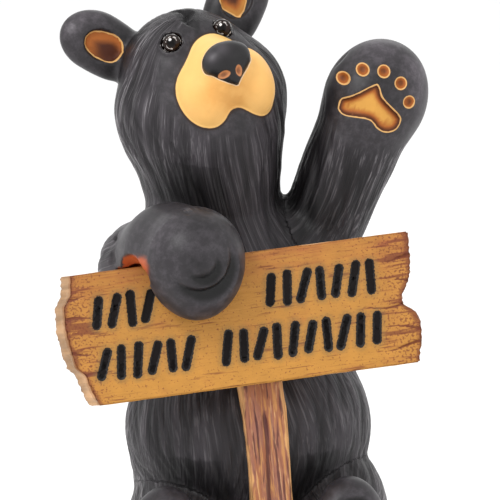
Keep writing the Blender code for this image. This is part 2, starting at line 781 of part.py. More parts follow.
def make_strokes(place):
    """The cutter for the rows of slanted strokes, which aren't letters."""
    shape = bmesh.new()
    for number, (across, height) in enumerate(stroke_middles(place)):
        slant = STROKE_SLANT + STROKE_SWAY * math.sin(number * 2.4)
        turn = Matrix.Rotation(math.radians(slant), 4, "Y")
        here = place @ Matrix.Translation((across, 0, height)) @ turn
        shorter = STROKE_VARIATION * (1 + math.cos(number * 1.7)) / 2
        x, z = STROKE_WIDTH / 2, STROKE_LENGTH * (1 - shorter) / 2
        outline = [(-x, -z), (x, -z), (x, z), (-x, z)]
        depths = (BOARD_FACE + STROKE_DEPTH, BOARD_FACE - STROKE_DEPTH)
        prism(shape, (outline, outline), here, depths)
    return as_cutter(from_bmesh("strokes", shape))


def make_slot(place):
    """The cutter for the board's slot in the holding paw."""
    shape = bmesh.new()
    outline = board_outline(GAP)
    prism(shape, (outline, outline), place, (BOARD_BACK + GAP, BOARD_FACE - GAP))
    return as_cutter(from_bmesh("board slot", shape))


def make_stake(frame):
    """A grooved stake whose foot is cut level with the base."""
    middle = frame.inverted() @ board_frame(frame).translation
    top = middle.z + BOARD_WIDTH / 2 - STAKE_TOP_INSET
    half, front, groove = STAKE_WIDTH / 2, -STAKE_THICKNESS, STAKE_GROOVE_WIDTH / 2
    profile = [(-half, 0), (half, 0), (half, front), (groove, front)]
    profile += [(0, front + STAKE_GROOVE), (-groove, front), (-half, front)]
    level = BASE_HEIGHT + GAP
    shape = bmesh.new()
    rings = []
    for section in range(STAKE_SECTIONS + 1):
        z = top * section / STAKE_SECTIONS
        ring = []
        for x, y in profile:
            side = (x > groove) - (x < -groove)
            sway = STAKE_SWAY * math.sin(section + side) * abs(side)
            point = frame @ Vector((x + sway, y, z))
            if section == 0:
                point += frame.col[2].to_3d() * (level - point.z) / frame.col[2].z
            ring.append(shape.verts.new(point))
        rings.append(ring)
    for lower, upper in zip(rings, rings[1:]):
        for i in range(len(profile)):
            j = (i + 1) % len(profile)
            shape.faces.new((lower[i], lower[j], upper[j], upper[i]))
    shape.faces.new(rings[0])
    shape.faces.new(rings[-1])
    return paint(from_bmesh("sign_post", shape), "stake paint", (0.33, 0.14, 0.076), 0.6)


def make_pads():
    """The cutter for the pads, whose floors follow the palm."""
    shape = bmesh.new()
    for middle, points in pad_outlines():
        floor = [shape.verts.new(placed(on_palm(p, -PAD_DEPTH))) for p in points]
        ceiling = [shape.verts.new(placed(on_palm(p, PAD_REACH))) for p in points]
        bottom = shape.verts.new(placed(on_palm(middle, -PAD_DEPTH)))
        top = shape.verts.new(placed(on_palm(middle, PAD_REACH * 1.2)))
        for i in range(len(points)):
            j = (i + 1) % len(points)
            shape.faces.new((floor[i], floor[j], ceiling[j], ceiling[i]))
            shape.faces.new((floor[j], floor[i], bottom))
            shape.faces.new((ceiling[i], ceiling[j], top))
    return as_cutter(from_bmesh("pads", shape))


def add_ball(name, centre, radius):
    shape = bmesh.new()
    bmesh.ops.create_uvsphere(shape, u_segments=EYE_SEGMENTS, v_segments=EYE_RINGS, radius=radius)
    obj = from_bmesh(name, shape)
    obj.data.shade_smooth()
    front = HEAD_AXES[1]
    obj.rotation_euler = Vector(front).to_track_quat("Z", "Y").to_euler()
    obj.location = placed(centre)
    return obj


def make_base(points):
    """A low oval slab with a rounded upper rim, under everything the bear sits on."""
    low = points[points[:, 2] < SEAT_LEVEL]
    half = (low.max(0) - low.min(0))[:2] / 2 * UNIT + BASE_MARGIN
    rings = [(0.0, 0.0)]
    for step in range(ROUNDING_STEPS + 1):
        angle = math.pi / 2 * step / ROUNDING_STEPS
        inset, drop = BASE_ROUNDING * (1 - math.cos(angle)), BASE_ROUNDING * (1 - math.sin(angle))
        rings.append((inset, BASE_HEIGHT - drop))
    shape = bmesh.new()
    loops = []
    for inset, height in rings:
        loop = []
        for side in range(BASE_SIDES):
            angle = 2 * math.pi * side / BASE_SIDES
            way = np.array((math.cos(angle), math.sin(angle)))
            reach = np.sum(np.abs(way / (half - inset)) ** BASE_FULLNESS) ** (-1 / BASE_FULLNESS)
            loop.append(shape.verts.new((*way * reach, height)))
        loops.append(loop)
    for lower, upper in zip(loops, loops[1:]):
        for i in range(BASE_SIDES):
            j = (i + 1) % BASE_SIDES
            shape.faces.new((lower[i], lower[j], upper[j], upper[i]))
    shape.faces.new(loops[0])
    shape.faces.new(loops[-1])
    return paint(from_bmesh("base", shape), "base paint", (0.05, 0.03, 0.02), 0.6)


def make_bear(points, faces, place):
    """The casting, thinned out and cut for the board, the pads and the eyes."""
    mesh = bpy.data.meshes.new("bear")
    mesh.from_pydata([placed(p) for p in points], [], faces.tolist())
    bear = paint(new_object("bear", mesh), "coat paint", (0.055, 0.052, 0.062), 0.45)
    bear.modifiers.new("thin out", "DECIMATE").ratio = SKIN_SHARE
    cut(bear, make_slot(place))
    cut(bear, make_pads())
    for name, centre in EYES.items():
        paint(add_ball(name, centre, EYE_RADIUS), name + " glass", (0.02, 0.01, 0.008), 0.05)
        cut(bear, as_cutter(add_ball(name + " socket", centre, EYE_RADIUS + GAP)))


def main():
    for obj in list(bpy.data.objects):
        bpy.data.objects.remove(obj)
    points, faces = model_figure()
    frame = sign_frame()
    place = board_frame(frame)
    make_bear(points, faces, place)
    cut(make_board(place), make_strokes(place))
    make_stake(frame)
    make_base(points)


if __name__ == "__main__":
    main()
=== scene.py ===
"""The looks of a cast and painted bear figurine that waves a paw and holds a plank sign.

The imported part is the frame. The casting is modelled again from the same rounded masses, with finer
carving, and painted with masks that are worked out from its own shapes.
"""

import itertools
import math

import bmesh
import bpy
import numpy as np
from bpy.props import FloatProperty, FloatVectorProperty, IntProperty, PointerProperty
from bpy.types import Operator, Panel, PropertyGroup
from mathutils import Matrix, Vector


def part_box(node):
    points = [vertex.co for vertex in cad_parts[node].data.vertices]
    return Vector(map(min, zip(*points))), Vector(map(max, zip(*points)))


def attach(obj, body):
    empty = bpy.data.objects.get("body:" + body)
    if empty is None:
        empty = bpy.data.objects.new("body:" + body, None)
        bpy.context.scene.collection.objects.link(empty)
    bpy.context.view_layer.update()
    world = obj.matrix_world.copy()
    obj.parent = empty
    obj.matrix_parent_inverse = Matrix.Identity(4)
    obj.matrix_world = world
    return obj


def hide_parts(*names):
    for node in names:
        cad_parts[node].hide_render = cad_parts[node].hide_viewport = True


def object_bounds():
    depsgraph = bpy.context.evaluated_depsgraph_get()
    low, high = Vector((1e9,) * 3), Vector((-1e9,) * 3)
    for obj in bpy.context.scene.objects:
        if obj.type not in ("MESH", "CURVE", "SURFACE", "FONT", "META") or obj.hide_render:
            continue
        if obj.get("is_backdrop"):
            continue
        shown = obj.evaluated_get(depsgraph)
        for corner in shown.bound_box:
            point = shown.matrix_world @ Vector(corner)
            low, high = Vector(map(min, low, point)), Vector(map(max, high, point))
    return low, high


bl_info = {
    "name": "Bear figurine with a sign",
    "version": (1, 0, 0),
    "blender": (4, 5, 0),
    "location": "View3D > Sidebar > Bear",
    "description": "Builds the painted casting, its sign, its eyes and the studio around the packed part",
    "category": "Object",
}

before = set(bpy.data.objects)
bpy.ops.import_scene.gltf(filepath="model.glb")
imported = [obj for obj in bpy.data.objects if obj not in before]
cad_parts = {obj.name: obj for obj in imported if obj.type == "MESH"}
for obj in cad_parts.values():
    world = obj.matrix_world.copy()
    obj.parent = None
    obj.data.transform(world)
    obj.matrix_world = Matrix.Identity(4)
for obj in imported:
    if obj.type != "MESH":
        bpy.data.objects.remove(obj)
CAD_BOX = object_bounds()
ROOT = "root"

# The figure's own units, and where they lie in the frame.
UNIT = 0.002
BASE_HEIGHT = 0.006
GAP = 0.0003
FOOTPRINT_CENTRE = (0.1, -1.9)
FAR = 100.0

# Shapes as signed distances, negative inside. Each gives back its distance and the box around it.


def turned(turn, tip, nod):
    """Axes across, forward and up of a head that starts out facing -Y."""
    spin = Matrix.Rotation(math.radians(turn), 3, "Z")
    roll = Matrix.Rotation(math.radians(-tip), 3, "Y")
    lift = Matrix.Rotation(math.radians(-nod), 3, "X")
    axes = np.array(spin @ roll @ lift)
    return axes[:, 0], -axes[:, 1], axes[:, 2]


UPRIGHT = (np.array((1.0, 0, 0)), np.array((0, 1.0, 0)), np.array((0, 0, 1.0)))
HEAD_CENTRE = np.array((-8.5, 0.0, 82.3))
HEAD_AXES = turned(16.0, 17.0, 8.0)


def on_head(across, forward, up):
    """A point of the head, in the figure's own coordinates."""
    a, f, u = HEAD_AXES
    return HEAD_CENTRE + a * across + f * forward + u * up


def seen_from(points, origin, axes):
    """Points in a frame of their own."""
    return [(points - origin) @ axis for axis in axes]


def ball(centre, radii, axes=UPRIGHT):
    """An ellipsoid."""
    centre, radii = np.asarray(centre, float), np.asarray(radii, float)

    def distance(x, y, z):
        offset = (x - centre[0], y - centre[1], z - centre[2])
        local = [sum(o * a for o, a in zip(offset, axis)) for axis in axes]
        near = np.sqrt(sum((v / r) ** 2 for v, r in zip(local, radii)))
        steep = np.sqrt(sum((v / r**2) ** 2 for v, r in zip(local, radii)))
        return near * (near - 1) / np.maximum(steep, 1e-6)

    reach = radii.max()
    return distance, centre - reach, centre + reach


def limb(start, end, first, last):
    """A round limb from one ball to another, its radius running evenly between theirs."""
    start, end = np.asarray(start, float), np.asarray(end, float)
    along = end - start

    def distance(x, y, z):
        offset = (x - start[0], y - start[1], z - start[2])
        share = np.clip(sum(o * a for o, a in zip(offset, along)) / (along @ along), 0, 1)
        square = sum((o - share * a) ** 2 for o, a in zip(offset, along))
        return np.sqrt(square) - (first + share * (last - first))

    reach = max(first, last)
    return distance, np.minimum(start, end) - reach, np.maximum(start, end) + reach


def soft_least(a, b, blend):
    """The smaller of two distances, rounded over where they are within blend of each other."""
    if not blend:
        return np.minimum(a, b)
    near = np.maximum(blend - np.abs(a - b), 0) / blend
    return np.minimum(a, b) - near * near * blend / 4


def fused(shapes, blend):
    """Several shapes as one, rounded into each other."""

    def distance(x, y, z):
        least = shapes[0][0](x, y, z)
        for shape in shapes[1:]:
            least = soft_least(least, shape[0](x, y, z), blend)
        return least

    lows, highs = [shape[1] for shape in shapes], [shape[2] for shape in shapes]
    return distance, np.min(lows, axis=0) - blend, np.max(highs, axis=0) + blend


def distance_to(shape, points):
    return shape[0](points[:, 0], points[:, 1], points[:, 2])


# The masses of the figure, as in the part: each shape, and how softly it runs into the others.

BELLY_CENTRE, BELLY_RADII = (-0.3, 0.0, 25.2), (20.5, 19.2, 19.0)
RUMP = ball((0, 3.5, 11), (19.0, 17.5, 15))
CHEST = ball((-0.8, 1.5, 45), (17.2, 14.5, 17.5))
NECK = limb((-5.5, 1, 61), (-7.1, 0.5, 72.5), 10.8, 12.7)
TAIL = ball((0, 21.0, 9), (3.4, 3.6, 3.6))
LEFT_THIGH = ball((-10.6, -4.0, 9.0), (10.2, 15.0, 12.6))
RIGHT_THIGH = ball((12.4, -4.0, 11.2), (10.2, 15.0, 12.6))
BODY = [
    (ball(BELLY_CENTRE, BELLY_RADII), 0),
    (RUMP, 5),
    (CHEST, 5),
    (NECK, 4),
    (TAIL, 2),
    (LEFT_THIGH, 0.8),
    (RIGHT_THIGH, 0.8),
]

FEET = {-1: (-15.4, -23.0, 10.0), 1: (14.0, -23.0, 11.1)}
FOOT_RADII = (6.4, 5.2, 10.0)
FOOT_TURN, FOOT_LEAN = 9.0, 8.0
KNEE = (12.8, -10, 8.5)
KNEE_RADIUS, HEEL_RADIUS = 8.4, 6.2
HEEL = (2.0, -2.5)


def foot_axes(side):
    """Axes across, into and up a foot's sole."""
    turn = Matrix.Rotation(math.radians(FOOT_TURN * side), 3, "Z")
    lean = Matrix.Rotation(math.radians(-FOOT_LEAN), 3, "X")
    return [np.array(column) for column in (turn @ lean).transposed()]


def feet():
    """The lower legs and the feet, with their soles to the front."""
    masses = []
    for side, centre in FEET.items():
        axes = foot_axes(side)
        heel = np.array(centre) + axes[1] * HEEL[0] + axes[2] * HEEL[1]
        masses.append((limb((KNEE[0] * side, *KNEE[1:]), heel, KNEE_RADIUS, HEEL_RADIUS), 1.5))
        masses.append((ball(centre, FOOT_RADII, axes), 1.2))
    return masses


SKULL = ball(on_head(-0.3, -1.0, -3.2), (14.7, 11.0, 12.2), HEAD_AXES)
CROWN = ball(on_head(-0.9, -0.8, 3.3), (10.2, 9.6, 9.3), HEAD_AXES)
CHIN = ball(on_head(0.8, 7.0, -7.8), (4.6, 4.0, 3.6), HEAD_AXES)
MUZZLE = fused(
    [
        limb(on_head(0.9, 5.2, 2.4), on_head(1.1, 12.1, 2.0), 5.4, 3.4),
        ball(on_head(-2.8, 7.2, -2.5), (4.4, 5.8, 6.2), HEAD_AXES),
        ball(on_head(5.0, 7.2, -2.4), (4.7, 5.8, 6.2), HEAD_AXES),
        ball(on_head(0.9, 9.0, -0.2), (4.2, 5.0, 4.6), HEAD_AXES),
    ],
    2.0,
)
NOSE = fused(
    [
        ball(on_head(1.35, 13.6, 2.5), (4.0, 2.5, 2.8), HEAD_AXES),
        limb(on_head(-0.8, 13.6, 2.1), on_head(1.4, 14.4, -0.9), 1.8, 0.6),
        limb(on_head(3.2, 13.6, 1.6), on_head(1.4, 14.4, -0.9), 1.6, 0.6),
        limb(on_head(1.35, 13.6, 1.6), on_head(1.4, 14.4, -0.7), 2.4, 0.8),
    ],
    0.8,
)
FACE = [(CHIN, 1.5), (MUZZLE, 0.3), (NOSE, 0.3)]

EAR_ROOT, EAR_ROOT_RADII = (10.2, -6.0, 8.4), (6.0, 4.8, 2.8)
EAR, EAR_RADII = (12.4, -6.0, 10.9), (6.2, 5.0, 3.0)
EAR_HOLLOW, EAR_HOLLOW_RADII = (12.2, -2.6, 10.7), (3.4, 2.7, 3.2)
EAR_HOLLOW_DEPTH = 1.0
EAR_SHIFTS = {-1: (0.0, 0.0, 0.9), 1: (0.9, 0.0, 0.0)}
EAR_ALONG, EAR_FACING = (0.8, 0.0, 0.6), (0.2, 0.97, 0.15)


def ear_axes(side):
    """Axes along, across and through an ear, which points up and outwards and faces forwards."""
    a, f, u = HEAD_AXES
    along = a * side * EAR_ALONG[0] + f * EAR_ALONG[1] + u * EAR_ALONG[2]
    through = a * side * EAR_FACING[0] + f * EAR_FACING[1] + u * EAR_FACING[2]
    through = through - along * (through @ along)
    through = through / np.linalg.norm(through)
    return along, np.cross(through, along), through


def on_ear(side, spot):
    return on_head(spot[0] * side, *spot[1:])


def ears():
    masses = []
    for side in (-1, 1):
        axes, shift = ear_axes(side), EAR_SHIFTS[side]
        masses.append((ball(on_ear(side, np.add(EAR_ROOT, shift)), EAR_ROOT_RADII, axes), 1.5))
        masses.append((ball(on_ear(side, np.add(EAR, shift)), EAR_RADII, axes), 1.0))
    return masses


SHOULDER = np.array((11.9, 0.3, 58.9))
PAW = np.array((21.1, -0.5, 80.9))
PALM_RADII = (8.1, 6.8, 8.6)
ARM_AXIS = (PAW - SHOULDER) / np.linalg.norm(PAW - SHOULDER)
PALM_ACROSS = np.cross((0, 1, 0), ARM_AXIS) / np.linalg.norm(np.cross((0, 1, 0), ARM_AXIS))
PALM_AXES = (PALM_ACROSS, np.cross(ARM_AXIS, PALM_ACROSS), ARM_AXIS)
RAISED_ARM = [
    (ball((9.0, 1, 53), (9.6, 9.4, 9.4)), 3),
    (limb(SHOULDER, PAW - ARM_AXIS * 3, 7.1, 7.7), 1.2),
    (ball(PAW, PALM_RADII, PALM_AXES), 3),
]

ELBOW = np.array((-17.6, -12.5, 53.6))
WRIST = np.array((-14.2, -20.5, 57.0))
GRIP = np.array((-11.3, -26.5, 56.9))
GRIP_BALL, GRIP_RADII = GRIP + (0.7, -0.2, -1.4), (7.0, 5.7, 8.4)
HOLDING_ARM = [
    (limb((-10.5, -1, 54), ELBOW, 9.5, 7.3), 3),
    (limb(ELBOW, WRIST, 7.3, 7.4), 2.5),
    (limb(WRIST, GRIP, 7.4, 7.8), 2),
    (ball(GRIP_BALL, GRIP_RADII), 2),
]
BELOW_WRIST = limb((-19.5, -28, 53.7), (-19.5, -19.6, 53.7), 1.7, 1.7)
ARCH_MIDDLE = (-19.5, -24, 53.7)
PAW_SIDE = limb((-21.6, -25.0, 53.0), (-18.4, -25.5, 42), 4.3, 4.4)


# Places that the paint follows.
PAD_CORNERS = [
    (-5.9, -4.3),
    (-5.9, -3.2),
    (-4.4, -1.8),
    (-2.0, 1.0),
    (-1.2, 1.0),
    (0.2, -0.5),
    (3.7, -2.0),
    (4.4, -3.1),
    (4.1, -4.6),
    (2.7, -5.5),
    (1.1, -5.4),
    (-0.7, -4.6),
    (-4.3, -5.5),
    (-5.6, -5.1),
]
PAD_SAMPLES = 5  # along each stretch of the pad's outline
TOE_CENTRE, TOE_ARC, TOE_MIDDLE, TOE_STEP, TOES = (-1.0, -2.9), 6.4, 93.0, 30.5, 5
TOE_RADIUS, PALM_NEAR = 1.05, 9
NOSTRILS = ((-0.3, 0.3, 0.85, 0.55), (2.15, 0.15, 0.55, 0.85))
NOSTRILS_FRONT, NOSE_FRONT, BROW_SHADE_FRONT = 11, 11.5, -4  # how far forward on the head each begins
# Outlines as they are seen from the front: of the nose, and of the painted shade in the fold between the
# brows.
NOSE_OUTLINE = ((-7.2, 83.9), (-6.9, 85.1), (-5.8, 86.2), (-4.2, 87.1), (-2.6, 87.4), (-1.4, 87.1))
NOSE_OUTLINE += ((-0.5, 86.3), (0.0, 85.6), (0.0, 84.6), (-0.5, 83.4), (-1.3, 82.0), (-2.0, 80.5))
NOSE_OUTLINE += ((-3.4, 80.9), (-4.8, 81.4), (-6.3, 82.2), (-6.9, 83.0))
BROW_SHADE_OUTLINE = ((-14.6, 93.0), (-13.0, 94.5), (-10.5, 94.8), (-9.0, 93.6), (-8.2, 92.2), (-8.1, 90.7))
BROW_SHADE_OUTLINE += ((-8.3, 88.9), (-9.4, 90.3), (-10.1, 91.0), (-10.8, 91.7), (-11.6, 91.9), (-12.4, 92.5))
# Outlines of the ears' painted hollows, along the ear and up it, and how each is shaded.
LEFT_EAR_OUTLINE = ((3.1, -0.6), (3.3, 0.4), (2.8, 1.3), (2.1, 1.9), (0.9, 2.3), (-0.2, 2.4), (-1.2, 2.4))
LEFT_EAR_OUTLINE += ((-2.1, 2.1), (-2.8, 1.6), (-3.2, 0.9), (-3.4, 0.0), (-3.2, -0.9), (-2.8, -1.7))
LEFT_EAR_OUTLINE += ((-2.2, -2.2), (-1.3, -2.4), (-0.4, -2.2), (0.6, -2.1), (1.6, -1.7), (2.4, -1.3))
RIGHT_EAR_OUTLINE = ((1.1, -1.5), (2.4, -0.4), (2.8, 1.0), (2.2, 2.4), (0.6, 3.0), (-0.9, 3.0))
RIGHT_EAR_OUTLINE += ((-1.8, 2.5), (-2.5, 1.1), (-2.4, -0.2), (-2.3, -1.4), (-2.1, -2.0), (-0.7, -2.1))
EAR_OUTLINES = {-1: LEFT_EAR_OUTLINE, 1: RIGHT_EAR_OUTLINE}
EAR_NEAR = ((0, 3.7), (0, 5.0), (-1.4, 1.3))  # middle and reach along, across and through the ear
EAR_SHADES = {-1: (0.42, 0.6), 1: (0.72, -0.2)}
EYES = {"eye_left": on_head(-4.15, 6.5, 7.5), "eye_right": on_head(4.85, 6.2, 7.15)}
EYE_RADIUS = 0.0033 / UNIT
EYE_GAP = 0.0002 / UNIT
BROW = [on_head(-1.1, 0.3, 12.7), on_head(0.5, 1.6, 12.3), on_head(1.2, 3.3, 11.6)]
BROW += [on_head(-0.3, 5.4, 10.4), on_head(0.3, 6.9, 8.8)]
PAW_SCROLL_CENTRE = GRIP + (1.2, 0, -0.3)
BROW_WIDTH, BROW_DEPTH, PAW_SCROLL_TURN = 1.2, 1.1, (-150, 30)
PAW_SCROLLS = ((4.9, 1.9, 1.25), (2.5, 1.7, 0.95))
FOOT_SCROLLS = ((4.2, 1.3, 0.9), (1.9, 1.1, 0.7))
FOOT_SCROLL_RAISE = 2.0
SCROLL_POINTS, SCROLL_START, SCROLL_TRIES = 28, 9.0, 24

# The sign's sizes and lie, in metres and degrees, as in the part.
SIGN_LEAN, SIGN_RAKE, SIGN_FOOT_X = 5.3, 8.0, 0.0062
STAKE_WIDTH, STAKE_THICKNESS, STAKE_TOP_INSET = 0.0137, 0.007, 0.006
STAKE_GROOVE, STAKE_GROOVE_WIDTH, STAKE_SWAY = 0.0012, 0.0036, 0.0005
BOARD_LENGTH, BOARD_WIDTH, BOARD_THICKNESS = 0.1095, 0.0415, 0.0075
BOARD_OFFSET, BOARD_TILT, UNDER_WRIST = -0.0036, 1.6, 1.3
LEFT_END_SLOPE, END_REACH = 0.0032, 0.0047
LEFT_END = ((-1.0, -0.62), (-0.78, -0.21), (-0.51, 0.09), (-0.39, 0.60), (-0.06, 0.87))
LEFT_END += ((0.2, 1.00), (0.54, 0.89), (0.7, 0.36), (1.0, 0.23))
RIGHT_END = ((-1.0, -0.34), (-0.59, 0.09), (-0.4, 0.15), (-0.23, -0.09), (-0.09, -0.91))
RIGHT_END += ((0.05, -0.87), (0.16, -0.60), (0.32, -0.19), (0.59, -0.04), (1.0, 0.04))
STROKE_LENGTH, STROKE_WIDTH = 0.0115, 0.0026
STROKE_PITCH, STROKE_SLANT, STROKE_SWAY, STROKE_VARIATION = 0.0053, 12.0, 10.0, 0.1
ROW_RISE, ROW_MARGIN, WORD_GAP = 0.0081, 0.0094, 0.0069
WORDS = ((9, 7), (6, 10))


def placed(points):
    """Points of the figure, in metres."""
    shift = (-FOOTPRINT_CENTRE[0] * UNIT, -FOOTPRINT_CENTRE[1] * UNIT, BASE_HEIGHT + GAP)
    return np.asarray(points, float) * UNIT + shift


CAMERA_PLACE, CAMERA_TARGET, CAMERA_LENS = (-0.0781, -0.8861, 0.2254), (-0.0002, 0.0038, 0.1157), 196.4


def looking(place, target):
    way = Vector(target) - Vector(place)
    return Matrix.Translation(place) @ way.to_track_quat("-Z", "Y").to_matrix().to_4x4()


def seen_from_front(points):
    """How far across and up points are for somebody who looks at the figure's front."""
    return (points @ np.array(looking(CAMERA_PLACE, CAMERA_TARGET))[:3, :2]).T


def unit(ways):
    """Directions with a length of one."""
    return ways / np.maximum(np.linalg.norm(ways, axis=-1, keepdims=True), 1e-9)


def between(values, low, high):
    """How far values are from low to high, eased at both ends."""
    share = np.clip((values - low) / (high - low), 0, 1)
    return share * share * (3 - 2 * share)


def hills(x, y, seed):
    """Smooth random hills between -1 and 1, about a unit apart."""
    size = 64
    lattice = np.random.default_rng(seed).uniform(-1, 1, (size, size))
    i, j = np.floor(x).astype(int), np.floor(y).astype(int)
    u, v = x - i, y - j
    u, v = u * u * (3 - 2 * u), v * v * (3 - 2 * v)
    lower = lattice[i % size, j % size] * (1 - u) + lattice[(i + 1) % size, j % size] * u
    upper = lattice[i % size, (j + 1) % size] * (1 - u) + lattice[(i + 1) % size, (j + 1) % size] * u
    return lower * (1 - v) + upper * v


def sign_frame():
    """The sign's own frame: X along the board, Y out of its back, Z up the stake."""
    rake = Matrix.Rotation(math.radians(-SIGN_RAKE), 4, "X")
    lean = Matrix.Rotation(math.radians(-SIGN_LEAN), 4, "Y")
    turn = rake @ lean
    front = -turn.col[1].to_3d()
    reach = Vector([r * UNIT * n for r, n in zip(BELLY_RADII, front)]).length + GAP
    belly = Vector(placed(BELLY_CENTRE))
    foot = Vector((SIGN_FOOT_X, 0, BASE_HEIGHT))
    foot.y = belly.y + (reach - front.z * (foot.z - belly.z)) / front.y
    return Matrix.Translation(foot) @ turn


SIGN = sign_frame()
BOARD_MIDDLE = (SIGN.inverted() @ Vector(placed(WRIST - (0, 0, UNDER_WRIST)))).z - BOARD_WIDTH / 2
BOARD = SIGN @ Matrix.Translation((BOARD_OFFSET, 0, BOARD_MIDDLE))
BOARD = BOARD @ Matrix.Rotation(math.radians(-BOARD_TILT), 4, "Y")
BOARD_BACK = -STAKE_THICKNESS - GAP
BOARD_FACE = BOARD_BACK - BOARD_THICKNESS
STAKE_TOP = BOARD_MIDDLE + BOARD_WIDTH / 2 - STAKE_TOP_INSET


def slot():
    """The board's slot in the holding paw, as a shape of the figure."""
    half = Vector((BOARD_LENGTH / 2 + END_REACH, 0, BOARD_WIDTH / 2 + GAP))
    low = (-half.x, BOARD_FACE - GAP, -half.z)
    high = (half.x, BOARD_BACK + GAP, half.z)
    inward = np.array(BOARD.inverted())

    def distance(x, y, z):
        x = (x - FOOTPRINT_CENTRE[0]) * UNIT
        y = (y - FOOTPRINT_CENTRE[1]) * UNIT
        z = z * UNIT + BASE_HEIGHT + GAP
        most = -FAR
        for row, first, last in zip(inward, low, high):
            local = row[0] * x + row[1] * y + row[2] * z + row[3]
            most = np.maximum(most, np.maximum(first - local, local - last))
        return most / UNIT

    corners = [BOARD @ Vector(corner) for corner in itertools.product(*zip(low, high))]
    corners = (np.array(corners) - placed((0, 0, 0))) / UNIT
    return distance, corners.min(axis=0), corners.max(axis=0)


def form_steps():
    """The masses and cuts in the order they are made: what is done, the shape, its depth and blend."""
    head = [(SKULL, 3), (CROWN, 2.5)] + ears() + FACE
    masses = BODY + feet() + head + RAISED_ARM + HOLDING_ARM
    steps = [("add", shape, 0, blend) for shape, blend in masses]
    for side in (-1, 1):
        hollow = ball(on_ear(side, EAR_HOLLOW), EAR_HOLLOW_RADII, ear_axes(side))
        steps.append(("press", hollow, EAR_HOLLOW_DEPTH, 0.4))
    steps += [("carve", BELOW_WRIST, 0, 0.3), ("carve", PAW_SIDE, 0, 0.4), ("carve", slot(), 0, 0.2)]
    for centre in EYES.values():
        steps.append(("carve", ball(centre, [EYE_RADIUS + EYE_GAP] * 3), 0, 0.15))
    return steps


def apply_step(here, distance, step):
    kind, _, depth, blend = step
    if kind == "add":
        return soft_least(here, distance, blend)
    if kind == "press":
        distance = np.maximum(distance, -here - depth)
    return -soft_least(-here, distance, blend)


class Form:
    """The figure as one signed distance, on a grid for its skin and at any points."""

    LOW, HIGH, STEP = (-32, -38, -2), (33, 27, 105), 0.6

    def __init__(self):
        self.steps = form_steps()
        self.axes = [np.arange(a, b + self.STEP, self.STEP) for a, b in zip(self.LOW, self.HIGH)]
        self.values = np.full([len(a) for a in self.axes], FAR, np.float32)
        for step in self.steps:
            _, (distance, low, high), _, blend = step
            margin = blend + 2 * self.STEP
            spans = []
            for axis, a, b in zip(self.axes, low, high):
                spans.append(slice(np.searchsorted(axis, a - margin), np.searchsorted(axis, b + margin)))
            grid = np.ix_(*[a[s] for a, s in zip(self.axes, spans)])
            spans = tuple(spans)
            self.values[spans] = apply_step(self.values[spans], distance(*grid), step)
        ground = 0 - self.axes[2][None, None, :]
        self.values = np.maximum(self.values, ground).astype(np.float32)

    def at(self, points):
        """The exact distance at any points."""
        values = np.full(len(points), FAR)
        for step in self.steps:
            _, (distance, low, high), _, blend = step
            margin = blend + 2 * self.STEP
            near = np.all((points > low - margin) & (points < high + margin), axis=1)
            if near.any():
                values[near] = apply_step(values[near], distance(*points[near].T), step)
        return np.maximum(values, -points[:, 2])

    def slope_at(self, points):
        """The grid's distance and the direction out of the surface at many points."""
        place = (points - self.LOW) / self.STEP
        cell = np.clip(np.floor(place).astype(int), 0, np.array(self.values.shape) - 2)
        near = (place - cell)[:, :, None]
        weights = np.concatenate((1 - near, near), axis=2)
        corners = np.zeros((len(points), 2, 2, 2))
        for i, j, k in itertools.product((0, 1), repeat=3):
            corners[:, i, j, k] = self.values[cell[:, 0] + i, cell[:, 1] + j, cell[:, 2] + k]
        x, y, z = weights[:, 0], weights[:, 1], weights[:, 2]
        turn = np.broadcast_to((-1.0, 1.0), x.shape)
        value = np.einsum("nijk,ni,nj,nk->n", corners, x, y, z)
        slope = [
            np.einsum("nijk,ni,nj,nk->n", corners, turn, y, z),
            np.einsum("nijk,ni,nj,nk->n", corners, x, turn, z),
            np.einsum("nijk,ni,nj,nk->n", corners, x, y, turn),
        ]
        slope = np.stack(slope, axis=1)
        return value, slope / np.maximum(np.linalg.norm(slope, axis=1, keepdims=True), 1e-9)

    def skin(self):
        """Quads through the grid's zero level: one point for each cell that the surface crosses."""
        values = self.values
        inside = values < 0
        shape = tuple(n - 1 for n in values.shape)
        total, count = np.zeros((*shape, 3), np.float32), np.zeros(shape, np.int32)
        crossings = []
        for axis in range(3):
            side, other = (axis + 1) % 3, (axis + 2) % 3
            here = np.moveaxis(values, (axis, side, other), (0, 1, 2))
            marks = np.moveaxis(inside, (axis, side, other), (0, 1, 2))
            crossed = marks[:-1] != marks[1:]
            rise = np.where(crossed, here[:-1] - here[1:], 1)
            share = np.where(crossed, here[:-1] / rise, 0)
            points = np.moveaxis(total, (axis, side, other), (0, 1, 2))
            counts = np.moveaxis(count, (axis, side, other), (0, 1, 2))
            for i, j in itertools.product((0, 1), repeat=2):
                part = (slice(None), slice(i, i + shape[side]), slice(j, j + shape[other]))
                points[..., axis] += share[part]
                points[..., side] += crossed[part] * i
                points[..., other] += crossed[part] * j
                counts += crossed[part]
            crossings.append((axis, side, other, crossed, marks[:-1]))
        cells = np.argwhere(count > 0)
        index = np.full(shape, -1)
        index[tuple(cells.T)] = np.arange(len(cells))
        points = total[tuple(cells.T)] / count[tuple(cells.T)][:, None]
        points = np.array(self.LOW) + (cells + points) * self.STEP
        faces = []
        for axis, side, other, crossed, lower in crossings:
            cell = np.moveaxis(index, (axis, side, other), (0, 1, 2))
            at, i, j = np.nonzero(crossed)
            quads = (cell[at, i - 1, j - 1], cell[at, i, j - 1], cell[at, i, j], cell[at, i - 1, j])
            quads = np.stack(quads, 1)
            outward = lower[at, i, j]
            faces += [quads[outward], quads[~outward][:, ::-1]]
        return points, np.concatenate(faces)


